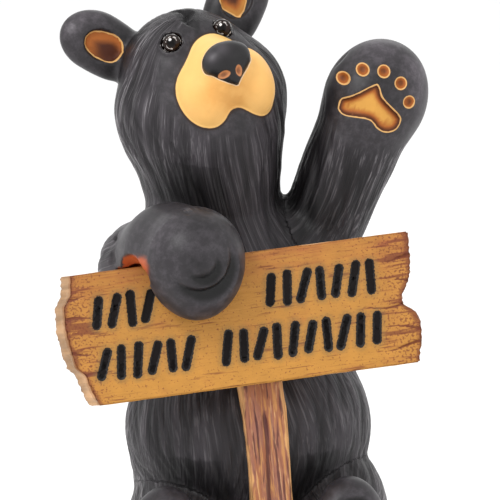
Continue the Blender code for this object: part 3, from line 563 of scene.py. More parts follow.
# Which way the coat lies: directions at a few places, which nearby strokes take up.
COAT = [
    (on_head(-8, 5, 6), -HEAD_AXES[2] - HEAD_AXES[0] * 0.5),
    (on_head(8, 5, 6), -HEAD_AXES[2] + HEAD_AXES[0] * 0.5),
    (on_head(0, 1, 13), -HEAD_AXES[1]),
    (on_head(0, -12, 2), -HEAD_AXES[2]),
    (on_head(-13, 2, -6), -HEAD_AXES[2] + HEAD_AXES[0] * 0.2),
    (on_head(13, 2, -6), -HEAD_AXES[2]),
    ((-6, -11, 66), (0.15, 0, -1)),
    ((-18, 1, 66), (0.3, 0, -1)),
    ((-6, 13, 66), (0, 0, -1)),
    ((0, -18, 34), (0.05, 0, -1)),
    ((-20, 0, 32), (-0.1, -0.3, -1)),
    ((20, 0, 32), (0.1, -0.3, -1)),
    ((0, 19, 30), (0, 0, -1)),
    ((-20, -8, 12), (0, -0.8, -0.6)),
    ((21, -8, 12), (0, -0.8, -0.6)),
    (SHOULDER, -ARM_AXIS),
    (PAW, -ARM_AXIS),
    (ELBOW + (-6, 0, 4), (0.5, -0.8, 0.5)),
    (GRIP + (0, 0, 8), (0.9, -0.3, -0.4)),
]
COAT_SPREAD = 4.0

# Smooth places that no stroke crosses: centre and radius.
SMOOTH = [
    (on_head(0.7, 10, 0.5), 9.8),
    (on_head(-12.6, -6, 10.2), 7.6),
    (on_head(12.6, -6, 10.2), 7.6),
    (PAW + (0, -6, 0), 9.6),
    (GRIP + (2, -3, -2), 9.5),
    (WRIST + (-1, -1, 2), 8.5),
    (np.array(FEET[-1]) + (0, -4, 0), 11.5),
    (np.array(FEET[1]) + (0, -4, 0), 11.5),
]

# Strokes along the coat.

FUR_STEP = 0.45
FUR_WANDER, FUR_WAVE = 0.22, 0.25
FUR_TIP = 0.35
FUR_FLOOR = 1.5
STROKE_NEAR = 2.5  # how far above or below its line a stroke still cuts


def lie(points):
    """The direction in which the coat lies at each point."""
    total = np.zeros_like(points)
    for place, way in COAT:
        away = points - np.asarray(place, float)
        total += unit(np.asarray(way, float)) / (np.sum(away**2, axis=1) + COAT_SPREAD)[:, None] ** 1.5
    return unit(total)


def smoothness(points):
    """How far inside the nearest smooth place each point lies."""
    inside = [radius - np.linalg.norm(points - centre, axis=1) for centre, radius in SMOOTH]
    return np.max(inside, axis=0)


MOST_STARTS = 40000


def spread_starts(points, spacing, chance):
    """Some of the points, at random but at least a spacing apart."""
    chosen = []
    cells = {}
    for point in chance.permutation(points)[:MOST_STARTS]:
        key = tuple(np.floor(point / spacing).astype(int))
        around = itertools.product(*[(k - 1, k, k + 1) for k in key])
        if all(np.sum((other - point) ** 2) > spacing**2 for k in around for other in cells.get(k, ())):
            cells.setdefault(key, []).append(point)
            chosen.append(point)
    return np.array(chosen)


def comb_strokes(form, starts, lengths, widths, depths):
    """Strokes along the coat, as rows of place, direction, outward way, width and depth."""
    points, count = starts.copy(), np.round(lengths / FUR_STEP).astype(int)
    rows, alive = [], np.ones(len(starts), bool)
    for number in range(count.max()):
        away, outward = form.slope_at(points)
        points = points - outward * away[:, None]
        alive &= (number < count) & (smoothness(points) < 0) & (points[:, 2] > FUR_FLOOR)
        way = lie(points)
        wave = FUR_WANDER * np.sin(number * FUR_WAVE + starts[:, 2])
        way = unit(way + np.cross(outward, way) * wave[:, None])
        way = unit(way - outward * np.sum(way * outward, axis=1, keepdims=True))
        rows.append((points[alive], way[alive], outward[alive], np.nonzero(alive)[0]))
        points = points + way * FUR_STEP
    owner = np.concatenate([row[3] for row in rows])
    number = np.repeat(np.arange(len(rows)), [len(row[3]) for row in rows])
    last = np.maximum(np.bincount(owner, minlength=len(starts)) - 1, 1)
    swell = np.sin(math.pi * np.clip(number / last[owner], 0, 1))
    width = widths[owner] * (FUR_TIP + (1 - FUR_TIP) * swell)
    return [np.concatenate([row[k] for row in rows]) for k in range(3)] + [width, depths[owner] * swell]


def line_strokes(form, middle, axes, radius, width, depth, first, last):
    """A curled line engraved into the surface ahead of a point, from one angle to another."""
    across, through, up = axes
    angles = np.radians(np.linspace(first, last, SCROLL_POINTS))[:, None]
    points = middle + (across * np.cos(angles) + up * np.sin(angles)) * radius - through * SCROLL_START
    for _ in range(SCROLL_TRIES):
        points = points + through * np.minimum(form.slope_at(points)[0], 1.0)[:, None]
    return along_points(form, points, width, depth)


def along_points(form, points, width, depth):
    """A groove along points, thin and shallow at its ends."""
    spots = []
    for start, end in zip(points, points[1:]):
        steps = max(int(np.linalg.norm(end - start) / FUR_STEP * 1.5), 1)
        spots += [start + (end - start) * k / steps for k in range(steps)]
    spots = np.array(spots + [points[-1]])
    away, outward = form.slope_at(spots)
    spots = spots - outward * away[:, None]
    ways = unit(np.gradient(spots, axis=0))
    swell = np.sin(math.pi * np.linspace(0.03, 0.97, len(spots)))
    return [spots, ways, outward, width * (FUR_TIP + (1 - FUR_TIP) * swell), depth * swell]


def joined(groups):
    return [np.concatenate([group[k] for group in groups]) for k in range(5)]


def near_pairs(points, spots, reach):
    """Numbers of points and of spots that lie in the same or in neighbouring cells."""
    low, size = spots.min(axis=0) - reach, 4096
    points, spots = np.floor((points - low) / reach).astype(int), np.floor((spots - low) / reach).astype(int)
    keys = (spots[:, 0] * size + spots[:, 1]) * size + spots[:, 2]
    order = np.argsort(keys, kind="stable")
    keys = keys[order]
    for shift in itertools.product((-1, 0, 1), repeat=3):
        wanted = points + shift
        wanted = (wanted[:, 0] * size + wanted[:, 1]) * size + wanted[:, 2]
        first = np.searchsorted(keys, wanted, "left")
        count = np.searchsorted(keys, wanted, "right") - first
        rows = np.repeat(np.arange(len(points)), count)
        inner = np.arange(count.sum()) - np.repeat(np.cumsum(count) - count, count)
        yield rows, order[np.repeat(first, count) + inner]


def groove_depth(points, strokes):
    """How deep the strokes cut at each point."""
    spots, ways, outward, widths, depths = strokes
    depth = np.zeros(len(points))
    for rows, found in near_pairs(points, spots, widths.max()):
        offset = points[rows] - spots[found]
        along = np.einsum("ij,ij->i", offset, ways[found])
        out = np.einsum("ij,ij->i", offset, outward[found])
        square = np.einsum("ij,ij->i", offset, offset) - along**2 - out**2
        fall = np.clip(1 - np.sqrt(np.maximum(square, 0)) / widths[found], 0, 1)
        fall[(np.abs(along) > FUR_STEP) | (np.abs(out) > STROKE_NEAR)] = 0
        cut = fall > 0
        np.maximum.at(depth, rows[cut], (fall * depths[found])[cut])
    return depth


# Outlines on the palm, the nose and the ears.


def rounded_outline(corners, samples):
    """A closed outline that passes smoothly through its corners."""
    corners = np.array(corners, float)
    points = []
    for a, b, c, d in zip(np.roll(corners, 1, 0), corners, np.roll(corners, -1, 0), np.roll(corners, -2, 0)):
        for t in np.arange(samples) / samples:
            point = 2 * b + (c - a) * t + (2 * a - 5 * b + 4 * c - d) * t * t
            points.append((point + (3 * b - a - 3 * c + d) * t**3) / 2)
    return np.array(points)


def distance_to_outline(x, y, outline):
    """Signed distance to a closed outline, negative inside."""
    least, inside = np.full(len(x), FAR), np.zeros(len(x), bool)
    for (ax, ay), (bx, by) in zip(outline, np.roll(outline, -1, 0)):
        square = (bx - ax) ** 2 + (by - ay) ** 2
        share = np.clip(((x - ax) * (bx - ax) + (y - ay) * (by - ay)) / square, 0, 1)
        least = np.minimum(least, np.hypot(x - ax - share * (bx - ax), y - ay - share * (by - ay)))
        crosses = (ay > y) != (by > y)
        rise = by - ay if abs(by - ay) > 1e-9 else 1e-9
        inside ^= crosses & (x < ax + (y - ay) * (bx - ax) / rise)
    return np.where(inside, -least, least)


def palm_distances(points):
    """Signed distances to the main pad and to the nearest toe, seen on the palm's front."""
    across, through, along = seen_from(points, PAW, PALM_AXES)
    pad, toe = np.full(len(points), FAR), np.full(len(points), FAR)
    near = (through < 0) & (np.abs(across) < PALM_NEAR) & (np.abs(along) < PALM_NEAR)
    x, y = across[near], along[near]
    pad[near] = distance_to_outline(x, y, rounded_outline(PAD_CORNERS, PAD_SAMPLES))
    for number in range(TOES):
        angle = math.radians(TOE_MIDDLE - (number - (TOES - 1) / 2) * TOE_STEP)
        spot = np.array(TOE_CENTRE) + TOE_ARC * np.array((math.cos(angle), math.sin(angle)))
        toe[near] = np.minimum(toe[near], np.hypot(x - spot[0], y - spot[1]) - TOE_RADIUS)
    return pad, toe


def ear_places(points):
    """Signed distance to the nearer ear's painted hollow, and the tone inside it."""
    least, tone = np.full(len(points), FAR), np.zeros(len(points))
    for side in (-1, 1):
        places = seen_from(points, on_ear(side, EAR_HOLLOW), ear_axes(side))
        near = np.all([np.abs(p - middle) < reach for p, (middle, reach) in zip(places, EAR_NEAR)], axis=0)
        along, up = places[0][near], places[1][near] * side
        away = distance_to_outline(along, up, EAR_OUTLINES[side])
        brightest, lean = EAR_SHADES[side]
        deep = -away - lean * (up + 0.6 * along)
        least[near], tone[near] = away, brightest * (1 - between(deep, 0.2, 2.1))
    return least, tone


def head_places(points):
    return seen_from(points, HEAD_CENTRE, HEAD_AXES)


def nostril_distance(points):
    across, forward, up = head_places(points)
    least = np.full(len(points), FAR)
    for x, z, wide, high in NOSTRILS:
        share = np.hypot((across - x) / wide, (up - z) / high)
        least = np.minimum(least, (share - 1) * min(wide, high))
    return np.where(forward > NOSTRILS_FRONT, least, FAR)


def front_outline_distance(points, outline, near):
    """Signed distance to an outline that is seen from the front, for the points that are near it."""
    least = np.full(len(points), FAR)
    least[near] = distance_to_outline(*seen_from_front(points[near]), outline)
    return least


def nose_distance(points):
    """Signed distance to the painted nose: its solid above, its pointed outline below."""
    _, forward, up = head_places(points)
    outline = front_outline_distance(points, NOSE_OUTLINE, forward > NOSE_FRONT)
    solid = np.minimum(distance_to(NOSE, points), outline)
    return outline + (solid - outline) * between(up, 0.2, 1.4)


# The casting.


def quartered(points, quads):
    """Each quad cut into four."""
    edges = np.sort(np.concatenate([quads[:, (k, (k + 1) % 4)] for k in range(4)]), axis=1)
    unique, index = np.unique(edges, axis=0, return_inverse=True)
    index = index.reshape(4, -1) + len(points)
    middles = points[unique].mean(axis=1)
    centres = np.arange(len(quads)) + len(points) + len(unique)
    faces = [np.stack((quads[:, k], index[k], centres, index[k - 1]), axis=1) for k in range(4)]
    points = np.concatenate((points, middles, points[quads].mean(axis=1)))
    return points, np.concatenate(faces)


def new_piece(name, points, faces, materials=()):
    mesh = bpy.data.meshes.new(name)
    mesh.from_pydata(points, [], faces)
    mesh.update()
    for material in materials:
        mesh.materials.append(material)
    piece = bpy.data.objects.new(name, mesh)
    bpy.context.scene.collection.objects.link(piece)
    return piece


def evaluated(piece):
    """The piece as a plain mesh, with its modifiers applied."""
    found = piece.evaluated_get(bpy.context.evaluated_depsgraph_get())
    mesh = bpy.data.meshes.new_from_object(found)
    old = piece.data
    piece.modifiers.clear()
    piece.data = mesh
    mesh.name = piece.name
    if old.users == 0:
        bpy.data.meshes.remove(old)
    return piece


def points_of(mesh):
    flat = np.empty(len(mesh.vertices) * 3, np.float32)
    mesh.vertices.foreach_get("co", flat)
    return flat.reshape(-1, 3).astype(float)


def keep_values(mesh, name, values):
    """Stores a number or a vector for each point of the mesh."""
    kind, key = ("FLOAT", "value") if values.ndim == 1 else ("FLOAT_VECTOR", "vector")
    stored = mesh.attributes.new(name, kind, "POINT")
    stored.data.foreach_set(key, values.astype(np.float32).ravel())


# Lengths and widths of the flutes and of the fine strokes, and the share of the depth that each takes.
FLUTES, FINE_STROKES = ((12, 24), (1.0, 1.9)), ((6, 15), (0.45, 0.8))
DEPTH_SHARES = (0.5, 1.0)


def all_strokes(form, points, sizes):
    """The coat's broad flutes and its fine strokes, and the lines on the brow, paw and feet."""
    chance = np.random.default_rng(sizes.seed)
    groups = []
    kinds = (
        (sizes.flute_spacing, FLUTES, sizes.flute_depth),
        (sizes.stroke_spacing, FINE_STROKES, sizes.stroke_depth),
    )
    for spacing, (lengths, widths), depth in kinds:
        starts = spread_starts(points, spacing, chance)
        count = len(starts)
        depths = depth * chance.uniform(*DEPTH_SHARES, count)
        lengths, widths = chance.uniform(*lengths, count), chance.uniform(*widths, count)
        groups.append(comb_strokes(form, starts, lengths, widths, depths))
    return groups


def line_groups(form):
    """The brow's crease and the curled lines of the paw and the feet."""
    groups = [along_points(form, np.array(BROW), BROW_WIDTH, BROW_DEPTH)]
    for line in PAW_SCROLLS:
        groups.append(line_strokes(form, PAW_SCROLL_CENTRE, UPRIGHT, *line, *PAW_SCROLL_TURN))
    for side, centre in FEET.items():
        middle = np.add(centre, (0, 0, FOOT_SCROLL_RAISE))
        for line in FOOT_SCROLLS:
            turn = (90 + 120 * side, 90 - 130 * side)
            groups.append(line_strokes(form, middle, foot_axes(side), *line, *turn))
    return joined(groups)


def shapes_of(masses):
    return [shape for shape, _ in masses]


# The masses that the brushed strokes run along: their shapes, a line through each and its thickness.
CROWN_WHORL = on_head(1.0, 4.0, 11.0)
TRUNK_LINE = ((0, 3.5, -5), (-0.8, 1.5, 45), (-5.5, 1, 61), (-7.1, 0.5, 72.5), (-8.5, 0, 82))
TRUNK_LINE += (CROWN_WHORL, (-9, -4, 106))
HOLDING_LINE = ((-10.5, 6, 54), (-10.5, -1, 54), ELBOW, WRIST, GRIP + (0, -9, 0))
FLOWS = (
    (shapes_of(BODY[:5]) + [SKULL, CROWN, CHIN], TRUNK_LINE, 16.0),
    (shapes_of(RAISED_ARM), (SHOULDER - ARM_AXIS * 14, PAW + ARM_AXIS * 14), 7.5),
    (shapes_of(HOLDING_ARM), HOLDING_LINE, 7.0),
    ([LEFT_THIGH] + shapes_of(feet()[:2]), ((-9, 12, 12), (-12.4, -10, 9), (-15.4, -33, 10)), 10.0),
    ([RIGHT_THIGH] + shapes_of(feet()[2:]), ((9, 12, 12), (12.8, -10, 9), (14, -33, 11)), 10.0),
)
# How far the strokes sway, how quickly along and around a mass, and what sets the masses apart.
FLOW_SWAY, FLOW_WAVES, FLOW_CROSS_WAVE, FLOW_SHIFT = 0.8, (0.2, 0.17), 0.2, 30


def flow_places(points):
    """Places around and along each point's own mass, so that what is stretched along it is combed."""
    nearest, places = np.full(len(points), FAR), np.zeros_like(points)
    for number, (shapes, line, thickness) in enumerate(FLOWS):
        away = np.min([distance_to(shape, points) for shape in shapes], axis=0)
        line = np.array([np.asarray(place, float) for place in line])
        axis = unit(line[-1] - line[0])
        along = points @ axis
        middle = np.stack([np.interp(along, line @ axis, line[:, k]) for k in range(3)], axis=1)
        out = points - middle
        out = unit(out - axis * (out @ axis)[:, None])
        side = unit(np.cross(axis, (0.3, 1.0, 0.2)))
        around = [out @ side * thickness, out @ np.cross(axis, side) * thickness]
        for k, wave in enumerate(FLOW_WAVES):
            around[k] = around[k] + FLOW_SWAY * np.sin(wave * along + FLOW_CROSS_WAVE * around[1 - k])
        mine = away < nearest
        places[mine] = np.stack((*around, along + FLOW_SHIFT * number), axis=1)[mine]
        nearest = np.minimum(nearest, away)
    return places * UNIT


# Painted shade and painted highlights on the coat: centre, how far each reaches and how strong it is.
PAINTED_SHADE_PLACES = (
    ((-3.0, -13.0, 62.0), 7.0, 0.45),
    ((-9.0, -14.0, 65.0), 5.0, 0.5),
    ((9.5, -6.0, 61.5), 6.5, 0.95),
    ((14.5, -7.0, 67.0), 6.0, 0.6),
    (on_head(0.8, 11.0, -8.3), 2.4, 0.4),
    ((-11.2, -34.2, 57.0), 1.9, 0.6),
    ((-6.3, -32.5, 56.2), 1.3, 0.5),
    ((20.5, -5.5, 82.0), 5.0, 0.7),
    (WRIST + (-2.0, -1.0, 3.0), 6.5, 0.4),
    (on_ear(-1, EAR_HOLLOW), 4.5, 0.35),
    (on_ear(1, EAR_HOLLOW), 4.5, 0.35),
    (on_head(0.0, 4.0, 9.0), 6.5, 0.45),
    ((-25.0, -21.0, 60.7), 5.5, 0.6),
)
# Painted highlights on the holding paw and elbow, the raised palm, the left ear, the nose and the feet.
PAINTED_HIGHLIGHT_PLACES = (
    ((-16.4, -30.0, 62.6), 2.8, 0.45),
    (ELBOW + (-3.0, -5.0, 3.0), 7.0, 0.15),
    ((21.0, -3.5, 88.2), 3.2, 0.75),
    ((26.8, -4.0, 84.5), 2.6, 0.75),
    ((26.8, -5.0, 80.5), 2.4, 0.55),
    ((-29.6, 0.5, 91.8), 1.3, 0.7),
    ((-27.8, 0.8, 93.6), 1.5, 0.8),
    ((-25.0, 1.4, 94.2), 1.8, 0.6),
    (on_head(-1.2, 14.8, 3.4), 1.0, 1.0),
    (on_head(0.6, 15.3, 4.3), 1.2, 0.6),
    (np.array(FEET[-1]) + (0, -3, 4), 6.0, 0.2),
    (np.array(FEET[1]) + (0, -3, 4), 6.0, 0.2),
)
# Where the light brushing is strongest; at these outer edges it is also painted rim light.
BRUSHING_AND_RIM_LIGHT_PLACES = (
    ((-20.0, -6.7, 78.4), 5.0, 0.8),
    ((-18.3, -4.3, 68.5), 6.0, 1.0),
    ((-16.6, -4.6, 91.0), 5.0, 0.8),
    ((20.0, -5.0, 64.0), 6.0, 0.8),
    ((24.0, -5.0, 72.0), 5.0, 0.7),
)


def spots_near(points, places):
    """How much each point takes of the places it is near: their middle, their reach and their strength."""
    near = []
    for middle, reach, strength in places:
        near.append(np.exp(-np.sum((points - middle) ** 2, axis=1) / reach**2) * strength)
    return np.max(near, axis=0)


def eye_distance(points):
    """Distance to the surface of the nearer eye."""
    return np.min([np.linalg.norm(points - centre, axis=1) for centre in EYES.values()], axis=0) - EYE_RADIUS


# How far from the arch's bore its colour reaches, and between which places across it fades in.
ARCH_REACH, ARCH_SIDE = (2.2, 1.5), (-18.0, -18.8)


def arch_share(points, outward):
    """How much of the arch's colour a point takes: near the bore, facing its middle, on its own side."""
    inward = (np.array(ARCH_MIDDLE) - points) * (1, 0, 1)
    near = between(distance_to(BELOW_WRIST, points), *ARCH_REACH)
    facing = between(np.sum(inward * outward, axis=1), -0.3, 0.3)
    return near * facing * between(points[:, 0], *ARCH_SIDE)


# How far out from the surface the painted shade in creases looks for nearby form.
CREASE_SHADE_REACHES = (2.5, 5.0, 9.0)
# How much painted shade darkens the surfaces that face up.
UPWARD_PAINTED_SHADE = 0.42


def paint_values(form, points, grooves, lines):
    """What the casting's paint needs to know at each point of its mesh."""
    across, forward, up = head_places(points)
    pad, toe = palm_distances(points)
    ear, ear_tone = ear_places(points)
    _, outward = form.slope_at(points)
    bare = np.minimum(np.minimum(pad, toe), ear)
    tone = np.where(pad < 0.3, between(-pad, 0.3, 1.6), 0.35)
    tone = np.where(toe < 0.3, 0.45 - 0.35 * between(-toe, 0.2, 0.9), tone)
    tone = np.where(ear < 0.5, ear_tone, tone)
    # Painted shade: lower where the form closes in nearby, in creases and between parts.
    painted_crease_shade = np.ones(len(points))
    for reach in CREASE_SHADE_REACHES:
        painted_crease_shade = np.minimum(painted_crease_shade, form.slope_at(points + outward * reach)[0] / reach)
    under_nose = np.exp(-(((across + 0.6) / 4.4) ** 2) - ((up + 2.4) / 2.8) ** 2)
    crease = np.exp(-(((across - 1.2) / 1.5) ** 2) - ((up + 4.6) / 2.6) ** 2)
    painted_rim_light = between(1 - np.abs(outward[:, 1]), 0.4, 0.95)
    upward_painted_shade = UPWARD_PAINTED_SHADE * between(outward[:, 2], 0.1, 0.8)
    return {
        "muzzle": distance_to(MUZZLE, points),
        "nose": nose_distance(points),
        "nostril": nostril_distance(points),
        "bare": bare,
        "tone": np.clip(tone, 0, 1),
        "groove": groove_depth(points, grooves),
        "line": groove_depth(points, lines),
        "painted_crease_shade": np.clip(painted_crease_shade, 0, 1),
        "blush": np.clip(1.25 * under_nose + 0.5 * crease + 0.12 * between(across, 1, 5), 0, 1),
        "upper": between(up, 2.0, 8.0),
        "eye": eye_distance(points),
        "smooth": between(smoothness(points), -1.6, 0.6),
        "painted_shade": np.maximum(spots_near(points, PAINTED_SHADE_PLACES), upward_painted_shade),
        # Painted highlights near the lit places.
        "light": spots_near(points, PAINTED_HIGHLIGHT_PLACES),
        # Light brushing, stronger on faces turned sideways, where it is partly painted rim light.
        "brushed": np.clip(0.22 + 0.5 * painted_rim_light + spots_near(points, BRUSHING_AND_RIM_LIGHT_PLACES), 0, 1),
        # Painted shade in the fold between the brows.
        "brow": front_outline_distance(points, BROW_SHADE_OUTLINE, forward > BROW_SHADE_FRONT),
        "arch": arch_share(points, outward),
        "flow": flow_places(points),
    }


# How the skin is drawn onto the form, how wide the pads' sunk edges are, and the rims of the eyes.
SKIN_TRIES, SKIN_STEP, FOOT_PLANE = 3, 0.4, 0.1
PAD_EDGE, TOE_EDGE, TOE_DEPTH, NOSTRIL_DEPTH = 0.75, 0.6, 0.8, 0.45
LID_HEIGHT, LID_REACH, LID_WIDTH = 0.22, 0.45, 0.3


def make_casting(sizes):
    """The bear's mesh: the form, finely skinned, with its strokes, pads and rims pressed in."""
    form = Form()
    points, quads = form.skin()
    points, quads = quartered(points, quads)
    for _ in range(SKIN_TRIES):
        _, outward = form.slope_at(points)
        points = points - outward * np.clip(form.at(points), -SKIN_STEP, SKIN_STEP)[:, None]
    flutes, fine = all_strokes(form, points, sizes)
    lines = line_groups(form)
    _, outward = form.slope_at(points)
    pad, toe = palm_distances(points)
    depth = np.max([groove_depth(points, strokes) for strokes in (flutes, fine, lines)], axis=0)
    depth = np.maximum(depth, sizes.pad_depth * between(-pad, 0.0, PAD_EDGE))
    depth = np.maximum(depth, sizes.pad_depth * TOE_DEPTH * between(-toe, 0.0, TOE_EDGE))
    depth += NOSTRIL_DEPTH * between(-nostril_distance(points), -0.1, 0.4)
    depth -= LID_HEIGHT * np.exp(-(((eye_distance(points) - LID_REACH) / LID_WIDTH) ** 2))
    depth[points[:, 2] < FOOT_PLANE] = 0
    points = points - outward * depth[:, None]
    piece = new_piece("bear_casting", placed(points), quads)
    thin = piece.modifiers.new("thin out", "DECIMATE")
    thin.ratio = sizes.casting_triangles / (2 * len(quads))
    evaluated(piece)
    final = (points_of(piece.data) - placed((0, 0, 0))) / UNIT
    for name, values in paint_values(form, final, joined([fine, flutes]), lines).items():
        keep_values(piece.data, name, values)
    piece.data.shade_smooth()
    return piece


# Board, stake and eyes as meshes.


def block(counts):
    """The outside of a block of cells: its points as shares of each side, and its quads."""
    grids = [np.arange(count + 1) for count in counts]
    i, j, k = np.meshgrid(*grids, indexing="ij")
    outside = (i == 0) | (i == counts[0]) | (j == 0) | (j == counts[1]) | (k == 0) | (k == counts[2])
    index = np.full(outside.shape, -1)
    index[outside] = np.arange(outside.sum())
    shares = [grid[outside] / count for grid, count in zip((i, j, k), counts)]
    faces = []
    for axis in range(3):
        cells = np.moveaxis(index, axis, 0)
        for side, layer in ((0, cells[0]), (1, cells[-1])):
            quads = np.stack((layer[:-1, :-1], layer[1:, :-1], layer[1:, 1:], layer[:-1, 1:]), axis=-1)
            quads = quads.reshape(-1, 4)
            faces.append(quads if side == 1 else quads[:, ::-1])
    return shares, np.concatenate(faces)


def transformed(matrix, x, y, z):
    matrix = np.array(matrix)
    return np.stack((x, y, z), axis=1) @ matrix[:3, :3].T + matrix[:3, 3]


def end_reach(ends, share):
    heights, reaches = zip(*ends)
    return np.interp(share, heights, reaches) * END_REACH


def stroke_middles():
    """Where the strokes of each row stand on the board, but for those that the paw hides."""
    paw = BOARD.inverted() @ Vector(placed(GRIP_BALL))
    side, lowest = GRIP_RADII[0] * UNIT, paw.z - GRIP_RADII[2] * UNIT
    for row, words in enumerate(WORDS):
        across, height = ROW_MARGIN - BOARD_LENGTH / 2, ROW_RISE * (1 - 2 * row)
        for count in words:
            for _ in range(count):
                if across > BOARD_LENGTH / 2 - ROW_MARGIN:
                    return
                if abs(across - paw.x) > side or height < lowest:
                    yield across, height
                across += STROKE_PITCH
            across += WORD_GAP


def strokes():
    """Each stroke's middle across and up the board, its slant and its length."""
    for number, (across, height) in enumerate(stroke_middles()):
        slant = math.radians(STROKE_SLANT + STROKE_SWAY * math.sin(number * 2.4))
        shorter = STROKE_VARIATION * (1 + math.cos(number * 1.7)) / 2
        yield across, height, slant, STROKE_LENGTH * (1 - shorter)


def stroke_distance(x, z):
    """Signed distance to the nearest stroke's outline on the board's face."""
    least = np.full(len(x), 1.0)
    for across, height, slant, length in strokes():
        lean = (math.sin(slant), math.cos(slant))
        half = length / 2 - STROKE_WIDTH / 2
        along = np.clip((x - across) * lean[0] + (z - height) * lean[1], -half, half)
        away = np.hypot(x - across - along * lean[0], z - height - along * lean[1])
        least = np.minimum(least, away - STROKE_WIDTH / 2)
    return least


# The cracks in the board's ends: which end, at which height, and how long.
CRACKS = (
    (1, 0.62, 0.016),
    (1, 0.28, 0.010),
    (1, -0.07, 0.024),
    (1, -0.45, 0.012),
    (1, -0.72, 0.019),
    (-1, 0.68, 0.009),
    (-1, 0.3, 0.013),
    (-1, -0.18, 0.011),
    (-1, -0.55, 0.016),
)
CRACK_SWAY, CRACK_WAVE, CRACK_WIDTH, CRACK_DEPTH = 0.05, 260, 0.035, 0.0009


def crack_depth(x, share, end):
    """How deep the cracks cut in from the board's ends, as a share."""
    depth = np.zeros(len(x))
    for side, height, length in CRACKS:
        inward = np.clip((end - side * x) / length, 0, 1)
        path = height + CRACK_SWAY * np.sin(x * CRACK_WAVE + height * 9)
        away = np.abs(share - path) / (CRACK_WIDTH * (1.05 - inward))
        depth = np.maximum(depth, np.clip(1 - away, 0, 1) * (1 - inward))
    return depth


BOARD_CELLS, BOARD_WEAR, EDGE_WEAR = (270, 10, 100), 0.00045, 0.0003
RAGGED_FINE, RAGGED_COARSE, BOARD_WAVE = 0.00035, 0.0005, 0.0003
END_START, END_FULL = 0.017, 0.001  # how far from its ends the board turns dark


def at_sides(share):
    """Whether points lie on either side of a block, and the way inwards from the side they are on."""
    return (share == 0) | (share == 1), np.where(share == 0, 1, -1)


def make_board(sizes):
    """The plank, with its broken ends, its grain, worn edges and sunk strokes."""
    (u, v, w), faces = block(BOARD_CELLS)
    half_length, half_width, share = BOARD_LENGTH / 2, BOARD_WIDTH / 2, w * 2 - 1
    z = share * half_width
    left = -half_length - end_reach(LEFT_END, share) + LEFT_END_SLOPE * (1 - v)
    right = half_length + end_reach(RIGHT_END, share)
    ragged = RAGGED_FINE * hills(z * 1400, v * 5, 3) + RAGGED_COARSE * hills(z * 420, v * 2, 4)
    left, right = left + np.abs(ragged), right - np.abs(ragged[::-1])
    x = left + u * (right - left)
    y = BOARD_FACE + v * BOARD_THICKNESS
    (at_end, endwards), (at_face, facewards), (at_edge, edgewards) = at_sides(u), at_sides(v), at_sides(w)
    corner = sum(flag.astype(int) for flag in (at_end, at_face, at_edge)) > 1
    worn = BOARD_WEAR * (1 + 0.9 * hills(x * 260, z * 260, 5)) * corner
    grain = sizes.grain_depth * (0.5 * hills(x * 55, z * 1500, 6) + 0.5 * hills(x * 30, z * 600, 7))
    wave = BOARD_WAVE * hills(x * 40, z * 120, 8) - 0.0002
    cracks = CRACK_DEPTH * crack_depth(x, share, half_length)
    marks = sizes.mark_depth * between(-stroke_distance(x, z), -0.0001, 0.0003)
    front = np.where(v == 0, np.maximum(grain + wave, -0.0003) + cracks + marks, 0)
    back = np.where(v == 1, -np.abs(grain + wave), 0)
    edge = np.where(at_edge, np.abs(EDGE_WEAR * hills(x * 120, v * 4, 9)), 0)
    x = x + np.where(at_end, endwards * worn, 0)
    y = y + np.where(at_face, facewards * worn, 0) + np.maximum(front, 0) + back
    z = z + np.where(at_edge, edgewards * (worn + edge), 0)
    board = new_piece("plank", transformed(BOARD, x, y, z), faces[:, ::-1])
    left = x + half_length + end_reach(LEFT_END, share) - LEFT_END_SLOPE
    right = half_length + end_reach(RIGHT_END, share) - x
    rim = np.minimum(np.minimum(left, right), half_width - z + 0.9 * UNIT)
    before_back = v < 1
    values = {
        "mark": np.where(before_back, stroke_distance(x, z) / UNIT, FAR),
        "crack": crack_depth(x, share, half_length),
        "end": between(np.abs(x + 0.001), half_length - END_START, half_length - END_FULL),
        "rim": np.clip(rim / UNIT, 0, 9),
        "side": between(y - BOARD_FACE, 0.0009, 0.0014) * before_back,
        "height": share,
        "board_place": np.stack((x, share * half_width, np.zeros(len(x))), axis=1),
    }
    for name, value in values.items():
        keep_values(board.data, name, value)
    return board


STAKE_CELLS, STAKE_SECTIONS, STAKE_WEAR = (26, 8, 230), 12, 0.0004
# The stake's long cracks: their middle, their width and the seed of their path.
STAKE_CRACKS = ((-0.0004, 0.0012, 21), (0.0024, 0.0008, 22), (-0.0036, 0.0006, 23))
STAKE_CRACK_SWAY = 0.0011


def strayed(share, shift):
    """How far a side of the stake strays at each height."""
    sways = [STAKE_SWAY * math.sin(k + shift) for k in range(STAKE_SECTIONS + 1)]
    return np.interp(share * STAKE_SECTIONS, range(STAKE_SECTIONS + 1), sways)


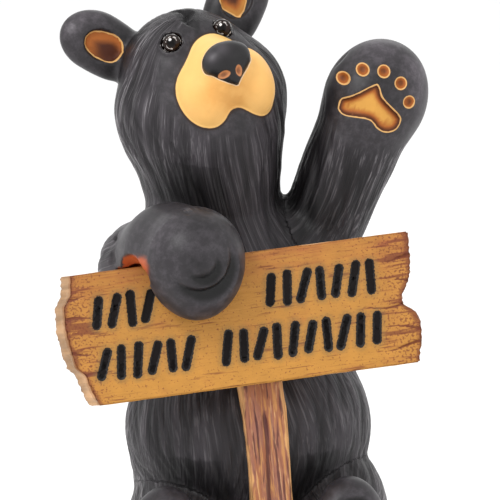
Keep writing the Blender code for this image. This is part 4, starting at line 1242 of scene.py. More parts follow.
def make_stake(sizes):
    """The stake, with its groove, its grain and its slightly crooked sides."""
    (u, v, w), faces = block(STAKE_CELLS)
    half = STAKE_WIDTH / 2
    x = -half - strayed(w, -1) * (1 - u) + u * STAKE_WIDTH + strayed(w, 1) * u
    y, z = -STAKE_THICKNESS * (1 - v), w * STAKE_TOP
    groove = np.clip(1 - np.abs(x) / (STAKE_GROOVE_WIDTH / 2), 0, 1) * STAKE_GROOVE
    grain = sizes.grain_depth * (hills(x * 1500, z * 45, 11) + 0.8 * hills(x * 700, z * 25, 12))
    front = np.where(v == 0, groove + np.maximum(grain, 0), 0)
    at_edge, at_face = at_sides(u)[0], at_sides(v)[0]
    worn = STAKE_WEAR * (1 + 0.8 * hills(z * 240, x * 50, 13)) * (at_edge & at_face)
    edge = np.where(at_edge, np.abs(EDGE_WEAR * hills(z * 130, v * 6, 14)), 0)
    x = x + np.where(u < 0.5, 1, -1) * (worn + edge)
    y = np.minimum(y + front + worn * (v == 0), 0)
    points = transformed(SIGN, x, y, z)
    foot, up = w == 0, np.array(SIGN)[:3, 2]
    points[foot] += up * ((BASE_HEIGHT + GAP - points[foot, 2]) / up[2])[:, None]
    stake = new_piece("stake", points, faces[:, ::-1])
    cracks = np.zeros(len(x))
    for middle, width, seed in STAKE_CRACKS:
        path = middle + STAKE_CRACK_SWAY * hills(z * 35, z * 0, seed)
        open_share = between(hills(z * 55, z * 0 + 3, seed), -0.5, 0.1)
        cracks = np.maximum(cracks, np.clip(1 - np.abs(x - path) / width, 0, 1) * open_share)
    keep_values(stake.data, "crack", cracks)
    keep_values(stake.data, "rim", (half - np.abs(x)) / UNIT)
    keep_values(stake.data, "board_place", np.stack((z, x, np.zeros(len(x))), axis=1))
    return stake


EYE_SEGMENTS, EYE_RINGS = 56, 36
EYE_BULGE = 0.03  # of the radius, at the pupil
EYE_BULGE_WIDTH = 26  # degrees from the pupil
GAZE = (-0.14, -0.97, 0.16)
# Where the painted highlight sits on the bead, in the bead's own coordinates.
PAINTED_GLINT_PLACE = (-0.12, 0.3, 0.95)


def make_eye(name, centre):
    """A glass bead that looks out of its socket, a little fuller over the pupil."""
    turn = Vector(GAZE).to_track_quat("Z", "Y").to_matrix()
    shape = bmesh.new()
    bmesh.ops.create_uvsphere(shape, u_segments=EYE_SEGMENTS, v_segments=EYE_RINGS, radius=1)
    local = np.array([vert.co for vert in shape.verts])
    tilt = np.degrees(np.arccos(np.clip(local[:, 2], -1, 1)))
    bulge = 1 + EYE_BULGE * (np.exp(-((tilt / EYE_BULGE_WIDTH) ** 2)) - 0.5)
    points = placed(centre) + (local * bulge[:, None]) @ np.array(turn).T * EYE_RADIUS * UNIT
    for vert, point in zip(shape.verts, points):
        vert.co = point
    mesh = bpy.data.meshes.new(name)
    bmesh.ops.recalc_face_normals(shape, faces=shape.faces)
    shape.to_mesh(mesh)
    shape.free()
    keep_values(mesh, "tilt", tilt)
    keep_values(mesh, "iris_place", local)
    mesh.shade_smooth()
    piece = bpy.data.objects.new(name, mesh)
    bpy.context.scene.collection.objects.link(piece)
    return piece


# Node trees.


def add_node(tree, kind, inputs=None, **settings):
    """A node with its settings, and its inputs linked or set."""
    node = tree.nodes.new(kind)
    for name, value in settings.items():
        setattr(node, name, value)
    for key, value in (inputs or {}).items():
        value = getattr(value, "socket", value)
        if isinstance(value, bpy.types.NodeSocket):
            tree.links.new(value, node.inputs[key])
        else:
            node.inputs[key].default_value = value
    return node


def calculated(tree, operation, *values, clamp=False):
    inputs = dict(enumerate(values))
    node = add_node(tree, "ShaderNodeMath", inputs, operation=operation, use_clamp=clamp)
    return Value(tree, node.outputs[0])


class Value:
    """What a node puts out. Sums of such numbers are written as plain sums."""

    def __init__(self, tree, socket):
        self.tree, self.socket = tree, socket

    def math(self, operation, *others, clamp=False):
        return calculated(self.tree, operation, self, *others, clamp=clamp)

    def __add__(self, other):
        return self.math("ADD", other)

    def __sub__(self, other):
        return self.math("SUBTRACT", other)

    def __rsub__(self, other):
        return calculated(self.tree, "SUBTRACT", other, self)

    def __mul__(self, other):
        return self.math("MULTIPLY", other)

    def __truediv__(self, other):
        return self.math("DIVIDE", other)

    def __rtruediv__(self, other):
        return calculated(self.tree, "DIVIDE", other, self)

    def __pow__(self, other):
        return self.math("POWER", other)

    def most(self, other):
        return self.math("MAXIMUM", other)

    def step(self, low, high, first=0.0, last=1.0, kind="SMOOTHSTEP"):
        """A step of the number from low to high, put out from first to last."""
        inputs = {0: self, 1: low, 2: high, 3: first, 4: last}
        node = add_node(self.tree, "ShaderNodeMapRange", inputs, interpolation_type=kind)
        return Value(self.tree, node.outputs[0])


def new_tree(name, kind, inputs, output):
    """A node group with named inputs and one output: its tree, its inputs' values and its end node."""
    tree = bpy.data.node_groups.new(name, kind)
    for label, socket_kind, default in inputs:
        socket_kind = "NodeSocket" + socket_kind
        socket = tree.interface.new_socket(name=label, in_out="INPUT", socket_type=socket_kind)
        if default is not None:
            socket.default_value = default
    label, socket_kind = output
    tree.interface.new_socket(name=label, in_out="OUTPUT", socket_type="NodeSocket" + socket_kind)
    start, end = tree.nodes.new("NodeGroupInput"), tree.nodes.new("NodeGroupOutput")
    return tree, {socket.name: Value(tree, socket) for socket in start.outputs if socket.name}, end


def grain_group():
    """Noise stretched along one way: brushed strokes on the coat and grain on the wood."""
    inputs = [
        ("Vector", "Vector", None),
        ("Turn", "Vector", (0, 0, 0)),
        ("Fineness", "Float", 400.0),
        ("Stretch", "Float", 12.0),
        ("Detail", "Float", 2.0),
    ]
    tree, given, end = new_tree("stretched grain", "ShaderNodeTree", inputs, ("Value", "Float"))
    turn = {"Vector": given["Vector"], "Rotation": given["Turn"]}
    turned_place = add_node(tree, "ShaderNodeVectorRotate", turn, rotation_type="EULER_XYZ").outputs[0]
    fine = given["Fineness"]
    scale = add_node(tree, "ShaderNodeCombineXYZ", {0: fine, 1: fine, 2: fine / given["Stretch"]}).outputs[0]
    place = add_node(tree, "ShaderNodeVectorMath", {0: turned_place, 1: scale}, operation="MULTIPLY")
    noise = {"Vector": place.outputs[0], "Scale": 1.0, "Detail": given["Detail"], "Distortion": 0.25}
    tree.links.new(add_node(tree, "ShaderNodeTexNoise", noise).outputs[0], end.inputs[0])
    return tree


def cloud_group():
    """Small cloudy changes of tone around one."""
    inputs = [("Vector", "Vector", None), ("Scale", "Float", 200.0), ("Amount", "Float", 0.2)]
    tree, given, end = new_tree("cloudy tone", "ShaderNodeTree", inputs, ("Tone", "Float"))
    noise = {"Vector": given["Vector"], "Scale": given["Scale"], "Detail": 4.0, "Roughness": 0.6}
    value = Value(tree, add_node(tree, "ShaderNodeTexNoise", noise).outputs[0])
    tone = (value - 0.5) * given["Amount"] * 2.0 + 1.0
    tree.links.new(tone.socket, end.inputs[0])
    return tree


SHARED_GROUPS = {"stretched grain": grain_group, "cloudy tone": cloud_group}
ALONG_WOOD = (0, -math.pi / 2, 0)


class Paint:
    """A material that ends in a plain Principled shader, with the place that its noises read."""

    def __init__(self, name, roughness=0.5, place=None, **values):
        self.material = bpy.data.materials.new(name)
        self.material.use_nodes = True
        self.tree = self.material.node_tree
        self.shader = self.tree.nodes["Principled BSDF"]
        self.shader.inputs["Roughness"].default_value = roughness
        for key, value in values.items():
            self.shader.inputs[key.replace("_", " ")].default_value = value
        self.place = self.value(place, "Vector") if place else self.object_place()

    def added(self, kind, inputs=None, output=0, **settings):
        return Value(self.tree, add_node(self.tree, kind, inputs, **settings).outputs[output])

    def object_place(self):
        return self.added("ShaderNodeTexCoord", output="Object")

    def value(self, name, output="Fac"):
        """A number or a vector that the mesh holds."""
        return self.added("ShaderNodeAttribute", output=output, attribute_name=name)

    def noise(self, scale, detail=2.0, roughness=0.5, place=None):
        inputs = {"Vector": place or self.place, "Scale": scale, "Detail": detail, "Roughness": roughness}
        return self.added("ShaderNodeTexNoise", inputs)

    def shared(self, name, inputs):
        """One of the shared groups, with this material's own values."""
        group = bpy.data.node_groups.get(name) or SHARED_GROUPS[name]()
        return self.added("ShaderNodeGroup", inputs, node_tree=group)

    def grain(self, fineness, stretch, detail=2.0, place=None, turn=(0, 0, 0)):
        inputs = {"Vector": place or self.place, "Turn": turn, "Fineness": fineness, "Stretch": stretch}
        return self.shared("stretched grain", {**inputs, "Detail": detail})

    def cloud(self, scale, amount):
        return self.shared("cloudy tone", {"Vector": self.place, "Scale": scale, "Amount": amount})

    def mixed(self, share, first, second, blend="MIX"):
        """Two colours mixed."""
        colours = [c if isinstance(c, Value) else (*c[:3], 1) for c in (first, second)]
        inputs = {0: share, 6: colours[0], 7: colours[1]}
        settings = {"data_type": "RGBA", "blend_type": blend, "clamp_factor": True}
        return self.added("ShaderNodeMix", inputs, 2, **settings)

    def toned(self, colour, tone):
        """A colour made lighter or darker by a number."""
        grey = self.added("ShaderNodeCombineColor", {0: tone, 1: tone, 2: tone})
        return self.mixed(1.0, colour, grey, "MULTIPLY")

    def layered(self, colour, layers):
        """A colour with others laid over it, each by its own share."""
        for share, layer in layers:
            colour = self.mixed(share, colour, layer)
        return colour

    def finished(self, colour, roughness=None, relief=None, distance=0.0, strength=0.8):
        """The material, with what its shader takes."""
        links = {"Base Color": colour}
        if roughness:
            links["Roughness"] = roughness
        if relief:
            bump = {"Height": relief, "Distance": distance, "Strength": strength}
            links["Normal"] = self.added("ShaderNodeBump", bump)
        for key, value in links.items():
            self.tree.links.new(value.socket, self.shader.inputs[key])
        return self.material


# Paints. A step's numbers are where it starts and ends, then what it puts out there.


def coat_hair(paint):
    """The coat's noises from fine to broad, and its light strokes: threads in bundles, and soft haze."""
    flow = paint.value("flow", "Vector")
    fine, middle = paint.grain(1900.0, 40.0, place=flow), paint.grain(760.0, 26.0, place=flow)
    broad = paint.grain(240.0, 11.0, place=flow)
    bundles = (broad * 0.6 + middle * 0.4).step(0.44, 0.6)
    threads = (middle * 0.3 + fine * 0.7).step(0.53, 0.61) * (bundles * 0.75 + 0.25)
    return fine, middle, broad, threads.most(middle.step(0.5, 0.66, 0.0, 0.2) * bundles)


def coat_colour(paint, colours, hair):
    """The charcoal coat with its light strokes, with painted shade in its hollows, grooves and carved lines
    and painted highlights in a few places.
    """
    _, middle, broad, light = hair
    groove, painted_crease_shade, painted_shade, smooth = [paint.value(name) for name in ("groove", "painted_crease_shade", "painted_shade", "smooth")]
    painted_highlight, line, brushed, brow = [paint.value(name) for name in ("light", "line", "brushed", "brow")]
    uneven = smooth.step(0.0, 1.0, 1.0, 0.05)
    tone = broad.step(0.38, 0.62, 0.72, 1.4) * middle.step(0.35, 0.65, 0.85, 1.15)
    tone = (tone - 1.0) * uneven + 1.0
    # Painted shade in creases and between parts, and in the grooves of the strokes.
    tone = tone * painted_crease_shade.step(0.0, 0.9, 0.3, 1.05) * groove.step(0.0, 0.5, 1.1, 0.4)
    # Painted shade at the dark places, on upward faces and in the carved lines; painted highlights at the lit
    # places.
    tone = tone * (painted_shade * -0.85 + 1.0) * (painted_highlight * 3.0 + 1.0) * line.step(0.0, 0.6, 1.0, 0.1)
    mottle = paint.noise(330.0, 6.0, 0.72).step(0.4, 0.68, 0.78, 1.6)
    tone = tone * ((mottle - 1.0) * smooth + 1.0) * paint.cloud(500.0, 0.06)
    share = light * painted_crease_shade.step(0.15, 0.9, 0.2, 1.0) * brushed * uneven
    share = share * (painted_shade * -0.8 + 1.0) * groove.step(0.05, 0.35, 1.0, 0.4)
    # The fold between the brows is darkened with painted shade in the nose's colour.
    layers = ((share * 0.8, colours.coat_light), (brow.step(0.3, -0.2, 0.0, 0.9), colours.nose))
    return paint.layered(paint.toned(colours.coat, tone), layers)


def bare_colour(paint, colours, bare):
    """The hollows of the ears and the pads, with their pale rims."""
    ramp = add_node(paint.tree, "ShaderNodeValToRGB", {0: paint.value("tone")})
    stops = ((0.0, colours.bare_dark), (0.45, colours.bare_middle), (1.0, colours.bare_light))
    ramp.color_ramp.elements.new(0.5)
    for element, (position, stop) in zip(ramp.color_ramp.elements, stops):
        element.position, element.color = position, (*stop, 1)
    inner = paint.toned(Value(paint.tree, ramp.outputs[0]), paint.cloud(420.0, 0.08))
    rim = (paint.noise(500.0, 3.0) * 0.3 + (bare - 0.15)).step(-0.24, -0.14)
    return paint.mixed(rim * 0.9, inner, colours.bare_rim)


def muzzle_colour(paint, colours, muzzle):
    """Tan, warmer below the nose and paler at its top and rim."""
    patches = paint.noise(150.0, 3.0).step(0.3, 0.6, 0.6, 1.15)
    blush = paint.value("blush").math("MULTIPLY", patches, clamp=True)
    tan = paint.mixed(paint.value("upper"), colours.muzzle, colours.muzzle_light)
    tan = paint.toned(paint.mixed(blush, tan, colours.muzzle_shade), paint.cloud(260.0, 0.12))
    return paint.mixed(muzzle.step(-0.12, 0.05, 0.0, 0.5), tan, colours.muzzle_light)


def coat_paint(colours):
    """Satin charcoal with brushed strokes, a tan muzzle, a dark nose and tan hollows and pads."""
    paint = Paint("coat paint", 0.42, Specular_IOR_Level=0.22, Coat_Roughness=0.4)
    hair = coat_hair(paint)
    smooth, painted_highlight, muzzle, nose, bare, nostril, eye, arch = [
        paint.value(name) for name in ("smooth", "light", "muzzle", "nose", "bare", "nostril", "eye", "arch")
    ]
    nose_mask = nose.step(0.14, 0.06)
    # Broken rings of painted reflection on the rims around the eyes.
    ring = eye.step(0.4, 0.3) * eye.step(0.16, 0.24) * paint.noise(700.0, 3.0).step(0.54, 0.62, 0.0, 0.4)
    layers = (
        (muzzle.step(0.55, 0.3) * 0.85, colours.outline),
        (muzzle.step(0.2, 0.1), muzzle_colour(paint, colours, muzzle)),
        (nose.step(0.3, 0.2) * 0.8, colours.pale_line),
        # The nose, with a painted highlight on its top.
        (nose_mask, paint.toned(colours.nose, painted_highlight * 8.0 + 1.0)),
        (nostril.step(0.12, 0.0), colours.nostril),
        (nostril.step(-0.05, -0.4, 0.0, 0.55), colours.bare_dark),
        (arch, colours.arch),
        (bare.step(0.06, 0.0), bare_colour(paint, colours, bare)),
        (ring, colours.eye_reflection),
        # A dark ring where each eye meets its socket, painted shade.
        (eye.step(0.22, 0.12), colours.outline),
    )
    colour = paint.layered(coat_colour(paint, colours, hair), layers)
    painted = muzzle.step(0.2, 0.1).most(bare.step(0.1, 0.0))
    satin = (smooth * painted.step(0.0, 1.0, 0.16, 0.0)).most(nose_mask * 0.25)
    paint.tree.links.new(satin.socket, paint.shader.inputs["Coat Weight"])
    plain = painted.most(nose_mask.most(smooth))
    relief = (hair[1] * 0.7 + hair[0] * 0.3) * plain.step(0.0, 1.0, 1.0, 0.04)
    return paint.finished(colour, hair[0] * 0.14 + 0.36 + painted * 0.1, relief, 0.0009)


def wood_streaks(paint):
    """Fine and broad streaks along the wood."""
    return paint.grain(1500.0, 14.0, 4.0, turn=ALONG_WOOD), paint.grain(330.0, 7.0, turn=ALONG_WOOD)


def board_paint(colours):
    """Golden boards that turn red-brown and cracked at the ends, with pale edges and black marks."""
    paint = Paint("board paint", place="board_place", Specular_IOR_Level=0.3)
    fine, broad = wood_streaks(paint)
    end, rim, height, mark, side = [paint.value(name) for name in ("end", "rim", "height", "mark", "side")]
    patch, grit, feather = paint.noise(90.0, 3.0, 0.6), paint.noise(1300.0), paint.noise(1500.0, 3.0)
    streaks = fine * 0.4 + broad * 0.6
    warm = height.step(0.3, 1.0, 0.0, 0.5) + patch.step(0.5, 0.7, 0.0, 0.3) + end.step(0.0, 0.8, 0.0, 0.25)
    warm = warm.math("MULTIPLY", streaks.step(0.4, 0.6, 0.45, 1.2), clamp=True)
    golden = paint.mixed(height.step(-0.9, 0.0), colours.wood_light, colours.wood)
    golden = paint.toned(paint.mixed(warm, golden, colours.wood_red), paint.cloud(170.0, 0.2))
    wander = rim + patch * 2.6 + grit * 0.8 - 1.5
    crack = fine * 1.2 + (paint.value("crack") - 0.6)
    pale = paint.toned(colours.wood_edge, broad.step(0.35, 0.6, 0.7, 1.1) * end.step(0.85, 1.0, 1.0, 0.7))
    ragged = feather * 0.5 + (mark - 0.25)
    layers = (
        ((end * 0.115 + streaks).step(0.59, 0.66, 0.0, 0.75), colours.wood_dark),
        ((end * 0.1 + grit).step(0.61, 0.69, 0.0, 0.75), colours.wood_dark),
        (wander.step(1.2, 0.5, 0.0, 0.75), colours.wood_dark),
        (crack.step(0.1, 0.35, 0.0, 0.9), colours.wood_dark),
        (rim.step(0.22, 0.05, 0.0, 0.7).most(side), pale),
        (ragged.step(1.1, 0.1) * feather.step(0.35, 0.6, 0.3, 1.0) * 0.55, colours.dirt),
        (ragged.step(0.12, 0.06), colours.mark),
    )
    relief = crack * -0.4 + streaks * end.step(0.0, 0.8, 0.25, 1.0)
    return paint.finished(paint.layered(golden, layers), fine * 0.25 + 0.42, relief, 0.0008)


def stake_paint(colours):
    """Red-brown wood with darker and orange streaks, golden edges and a few dark cracks down it."""
    paint = Paint("stake paint", place="board_place", Specular_IOR_Level=0.3)
    fine, broad = wood_streaks(paint)
    flecks, patch = paint.grain(950.0, 11.0, 3.0, turn=ALONG_WOOD), paint.noise(110.0, 3.0)
    rim = patch * 1.4 + (paint.value("rim") - 0.7)
    crack = fine * 1.4 + (paint.value("crack") - 0.7)
    golden = paint.toned(colours.stake_edge, flecks.step(0.38, 0.6, 0.75, 1.15))
    layers = (
        (patch.step(0.42, 0.62, 0.0, 0.5), colours.stake),
        (flecks.step(0.53, 0.62, 0.0, 0.75), colours.stake_light),
        (fine.step(0.58, 0.66, 0.0, 0.6), colours.wood_edge),
        (flecks.step(0.46, 0.38, 0.0, 0.8), colours.stake_dark),
        (rim.step(0.62, 0.38, 0.0, 0.85), golden),
        (crack.step(0.3, 0.6, 0.0, 0.85), colours.stake_dark),
    )
    colour = paint.mixed(broad.step(0.4, 0.6), colours.stake_red, colours.stake)
    return paint.finished(paint.layered(colour, layers), fine * 0.25 + 0.42, flecks, 0.0009)


def mark_paint(colours):
    """Flat black paint in the bottom of the sign's strokes."""
    paint = Paint("mark paint", 0.75, Specular_IOR_Level=0.12)
    return paint.finished(paint.toned(colours.mark, paint.cloud(600.0, 0.3)))


# The painted reflections in the glass, as broken rings: their tilt from the pupil, width, strength and own
# shift.
GLASS_REFLECTIONS = ((34.0, 5.0, 0.9, 0.0), (66.0, 7.0, 1.0, 3.7))
REFLECTION_WAVE = 30.0


def eye_glass(name, colours):
    """A black glass bead with a dark brown iris, broken rings of painted reflection and a bright painted
    glint.
    """
    paint = Paint(name, 0.05, place="iris_place", Specular_IOR_Level=0.15)
    tilt = paint.value("tilt")
    layers = [(tilt.step(48.0, 60.0), colours.pupil)]
    for middle, width, weight, shift in GLASS_REFLECTIONS:
        moved = {0: paint.place, 1: (shift, shift, 0)}
        breaks = paint.noise(2.2, 3.0, place=paint.added("ShaderNodeVectorMath", moved, operation="ADD"))
        away = (tilt - (breaks * REFLECTION_WAVE + (middle - REFLECTION_WAVE / 2))).math("ABSOLUTE")
        ring = away.step(width, width * 0.3) * breaks.step(0.49, 0.53)
        layers.append((ring * weight, colours.eye_reflection))
    # A painted highlight on the bead.
    glint = {0: paint.place, 1: PAINTED_GLINT_PLACE}
    glint = paint.added("ShaderNodeVectorMath", glint, 1, operation="DISTANCE")
    layers.append((glint.step(0.18, 0.08), colours.glint))
    colour = paint.mixed(tilt.step(20.0, 30.0), colours.pupil, colours.iris)
    return paint.finished(paint.layered(colour, layers))


def base_paint(colours):
    """Dark earth-brown paint with lighter brushing on its top and rim."""
    paint = Paint("base paint")
    fine = paint.grain(700.0, 3.0)
    caught = (fine - 0.58).math("MULTIPLY", 7.0, clamp=True)
    brushed = caught * (paint.noise(70.0).step(0.38, 0.62) * 0.75 + 0.25)
    earth = paint.toned(colours.base, paint.cloud(160.0, 0.4))
    return paint.finished(
        paint.mixed(brushed * 0.5, earth, colours.base_light), fine * 0.3 + 0.35, fine, 0.0006, 0.6
    )


# Geometry Nodes trees.


def geometry_tree(name, inputs):
    """A modifier tree with named inputs: its tree, its inputs' values and its end node."""
    inputs = [("Geometry", "Geometry", None), *inputs, ("Material", "Material", None)]
    tree, given, end = new_tree(name, "GeometryNodeTree", inputs, ("Geometry", "Geometry"))
    tree.is_modifier = True
    return tree, given, end


def finished_tree(tree, given, end, geometry):
    real = add_node(tree, "GeometryNodeRealizeInstances", {"Geometry": geometry})
    painted = add_node(tree, "GeometryNodeSetMaterial", {0: real.outputs[0], "Material": given["Material"]})
    tree.links.new(painted.outputs[0], end.inputs[0])
    return tree


def positions(tree):
    """Each point's place, as three numbers."""
    place = add_node(tree, "GeometryNodeInputPosition").outputs[0]
    return [Value(tree, output) for output in add_node(tree, "ShaderNodeSeparateXYZ", {0: place}).outputs]


def set_places(tree, geometry, **change):
    inputs = {"Geometry": geometry, **change}
    return add_node(tree, "GeometryNodeSetPosition", inputs).outputs[0]


def oval_slab_tree():
    """A closed oval slab with a rounded upper rim, from its half sizes and its fullness."""
    inputs = [
        ("Half length", "Float", 0.05),
        ("Half width", "Float", 0.05),
        ("Height", "Float", 0.006),
        ("Rounding", "Float", 0.002),
        ("Fullness", "Float", 2.5),
        ("Relief", "Float", 0.0002),
        ("Sides", "Int", 160),
        ("Rings", "Int", 60),
    ]
    tree, size, end = geometry_tree("oval slab", inputs)
    rounding, fullness = size["Rounding"], size["Fullness"]
    grid = {"Size X": 1.0, "Size Y": 1.0, "Vertices X": size["Sides"], "Vertices Y": size["Rings"]}
    sheet = add_node(tree, "GeometryNodeMeshGrid", grid).outputs[0]
    across, along, _ = positions(tree)
    angle, level = (across + 0.5) * (2 * math.pi), along + 0.5
    ways = [angle.math("COSINE"), angle.math("SINE")]
    halves = (size["Half width"], size["Half length"])
    powers = [(way.math("ABSOLUTE") / half) ** fullness for way, half in zip(ways, halves)]
    turn = level.step(0.3, 0.45, 0.0, math.pi / 2, "LINEAR")
    reach = (powers[0] + powers[1]) ** (-1.0 / fullness) - rounding * (1.0 - turn.math("COSINE"))
    reach = reach * level.step(0.0, 0.15, kind="LINEAR") * level.step(0.45, 1.0, 1.0, 0.0, "LINEAR")
    wall = level.step(0.15, 0.3, kind="LINEAR") * (size["Height"] - rounding)
    height = wall + rounding * turn.math("SINE")
    point = {0: ways[0] * reach, 1: ways[1] * reach, 2: height}
    shaped = set_places(tree, sheet, Position=add_node(tree, "ShaderNodeCombineXYZ", point).outputs[0])
    merged = add_node(tree, "GeometryNodeMergeByDistance", {"Geometry": shaped, "Distance": 1e-6}).outputs[0]
    noise = Value(tree, add_node(tree, "ShaderNodeTexNoise", {"Scale": 260.0, "Detail": 3.0}).outputs[0])
    drop = noise * height.step(0.0, 0.002, kind="LINEAR") * size["Relief"] * -1.0
    normal = {0: add_node(tree, "GeometryNodeInputNormal").outputs[0], 3: drop}
    offset = add_node(tree, "ShaderNodeVectorMath", normal, operation="SCALE").outputs[0]
    rough = {"Geometry": set_places(tree, merged, Offset=offset)}
    smooth = add_node(tree, "GeometryNodeSetShadeSmooth", rough).outputs[0]
    return finished_tree(tree, size, end, smooth)


def stroke_tree():
    """A brushed stroke of paint on each point, slanted and stretched by the point's own values."""
    inputs = [
        ("Half width", "Float", 0.001),
        ("Thickness", "Float", 0.0002),
        ("Raggedness", "Float", 0.0003),
        ("Corners", "Int", 40),
    ]
    tree, size, end = geometry_tree("painted strokes", inputs)
    ring = {"Vertices": size["Corners"], "Radius": 1.0}
    ring = add_node(tree, "GeometryNodeMeshCircle", ring, fill_type="NGON").outputs[0]
    across, along, _ = positions(tree)
    upright = {0: across * size["Half width"], 2: along.math("SIGN") * along.math("ABSOLUTE") ** 0.45}
    outline = set_places(tree, ring, Position=add_node(tree, "ShaderNodeCombineXYZ", upright).outputs[0])
    out = {"Mesh": outline, "Offset": (0, -1, 0), "Offset Scale": size["Thickness"]}
    solid = add_node(tree, "GeometryNodeExtrudeMesh", out).outputs[0]
    named = []
    for name in ("slant", "half_length"):
        node = add_node(tree, "GeometryNodeInputNamedAttribute", {"Name": name}, data_type="FLOAT")
        named.append(node.outputs[0])
    turn = add_node(tree, "ShaderNodeCombineXYZ", {1: named[0]}).outputs[0]
    scale = add_node(tree, "ShaderNodeCombineXYZ", {0: 1.0, 1: 1.0, 2: named[1]}).outputs[0]
    dots = {"Points": size["Geometry"], "Instance": solid, "Rotation": turn, "Scale": scale}
    marks = add_node(tree, "GeometryNodeInstanceOnPoints", dots).outputs[0]
    real = add_node(tree, "GeometryNodeRealizeInstances", {"Geometry": marks}).outputs[0]
    moved = add_node(tree, "ShaderNodeTexNoise", {"Scale": 1300.0, "Detail": 2.0}).outputs[1]
    changes = (
        ("SUBTRACT", 1, (0.5, 0.5, 0.5)),
        ("SCALE", 3, size["Raggedness"]),
        ("MULTIPLY", 1, (1, 0, 1)),
    )
    for operation, key, value in changes:
        inputs = {0: moved, key: value}
        moved = add_node(tree, "ShaderNodeVectorMath", inputs, operation=operation).outputs[0]
    return finished_tree(tree, size, end, set_places(tree, real, Offset=moved))


def grown(piece, tree, inputs):
    """The piece run through a Geometry Nodes tree with these inputs, as a plain mesh."""
    modifier = piece.modifiers.new(tree.name, "NODES")
    modifier.node_group = tree
    sockets = {item.name: item.identifier for item in tree.interface.items_tree if item.in_out == "INPUT"}
    for name, value in inputs.items():
        modifier[sockets[name]] = value
    return evaluated(piece)


def face_outwards(mesh):
    shape = bmesh.new()
    shape.from_mesh(mesh)
    bmesh.ops.recalc_face_normals(shape, faces=shape.faces)
    shape.to_mesh(mesh)
    shape.free()


# Sizes and colours that a user may change.


def carving(name, text, value):
    return FloatProperty(name=name, description=text + ", in figure units", default=value)


class BearSizes(PropertyGroup):
    """Sizes of the casting's carving and of the wood's relief, in the figure's units and in metres."""

    flute_spacing: carving("Flute spacing", "Between broad flutes", 3.4)
    flute_depth: carving("Flute depth", "Of the broad flutes", 0.42)
    stroke_spacing: carving("Stroke spacing", "Between fine strokes", 1.9)
    stroke_depth: carving("Stroke depth", "Of the fine strokes", 0.2)
    pad_depth: carving("Pad depth", "Of the paw's pads", 0.7)
    casting_triangles: IntProperty(name="Triangles", description="Left in the casting", default=190000)
    seed: IntProperty(name="Seed", description="Of the strokes", default=5)
    grain_depth: FloatProperty(name="Grain depth", description="Of the wood", default=0.00016, unit="LENGTH")
    mark_depth: FloatProperty(name="Mark depth", description="Of the strokes", default=0.0008, unit="LENGTH")


def colour_property(name, value):
    looks = {"size": 3, "min": 0, "max": 1, "subtype": "COLOR"}
    return FloatVectorProperty(name=name, description="Colour of the " + name.lower(), default=value, **looks)


class BearColours(PropertyGroup):
    """Colours of the paint."""

    coat: colour_property("Coat", (0.028, 0.0245, 0.028))
    coat_light: colour_property("Coat's light brushing", (0.36, 0.34, 0.355))
    # Dark lines around the muzzle; around the eyes they are painted shade in the sockets.
    outline: colour_property("Dark outlines", (0.022, 0.010, 0.006))
    muzzle: colour_property("Muzzle", (0.87, 0.45, 0.132))
    muzzle_light: colour_property("Muzzle's top", (0.81, 0.54, 0.19))
    muzzle_shade: colour_property("Muzzle's shading", (0.64, 0.235, 0.036))
    nose: colour_property("Nose", (0.008, 0.007, 0.008))
    nostril: colour_property("Nostrils", (0.5, 0.2, 0.075))
    bare_dark: colour_property("Hollows, deepest", (0.06, 0.015, 0.006))
    bare_middle: colour_property("Hollows, middle", (0.36, 0.105, 0.018))
    bare_light: colour_property("Pads, middle", (0.6, 0.3, 0.06))
    bare_rim: colour_property("Rims of hollows and pads", (0.68, 0.39, 0.14))
    iris: colour_property("Iris", (0.016, 0.008, 0.0055))
    pupil: colour_property("Pupil", (0.003, 0.002, 0.002))
    # Painted reflections on and around the eyes.
    eye_reflection: colour_property("Eye's light rings", (0.55, 0.52, 0.5))
    wood: colour_property("Board", (0.44, 0.2, 0.036))
    wood_light: colour_property("Board's lower half", (0.47, 0.215, 0.036))
    wood_red: colour_property("Wood's red streaks", (0.31, 0.09, 0.027))
    wood_dark: colour_property("Board's dark cracks", (0.15, 0.035, 0.014))
    dirt: colour_property("Dirt around the marks", (0.17, 0.11, 0.04))
    wood_edge: colour_property("Wood's pale edges", (0.62, 0.36, 0.18))
    stake: colour_property("Stake", (0.3, 0.11, 0.05))
    stake_light: colour_property("Stake's orange streaks", (0.5, 0.235, 0.075))
    stake_red: colour_property("Stake's red patches", (0.28, 0.115, 0.075))
    stake_dark: colour_property("Stake's dark cracks", (0.075, 0.02, 0.018))
    mark: colour_property("Marks", (0.008, 0.006, 0.006))
    # A painted highlight on each eye.
    glint: colour_property("Eye's glint", (0.9, 0.88, 0.86))
    pale_line: colour_property("Pale line around the nose", (0.8, 0.6, 0.4))
    arch: colour_property("Under the wrist", (0.42, 0.08, 0.02))
    stake_edge: colour_property("Stake's golden edges", (0.55, 0.29, 0.11))
    base: colour_property("Base", (0.05, 0.028, 0.016))
    base_light: colour_property("Base's brushing", (0.24, 0.14, 0.075))
    floor: colour_property("Floor", (0.9, 0.9, 0.9))


class BEAR_OT_casting(Operator):
    """Model and paint the bear's casting"""

    bl_idname = "bear.casting"
    bl_label = "Bear casting"

    def execute(self, context):
        piece = make_casting(context.scene.bear_sizes)
        piece.data.materials.append(coat_paint(context.scene.bear_colours))
        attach(piece, ROOT)
        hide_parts("bear")
        return {"FINISHED"}


class BEAR_OT_eyes(Operator):
    """Make the two glass eyes"""

    bl_idname = "bear.eyes"
    bl_label = "Glass eyes"

    def execute(self, context):
        for name, centre in EYES.items():
            piece = make_eye("glass_" + name, centre)
            piece.data.materials.append(eye_glass(name + " glass", context.scene.bear_colours))
            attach(piece, ROOT)
            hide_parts(name)
        return {"FINISHED"}


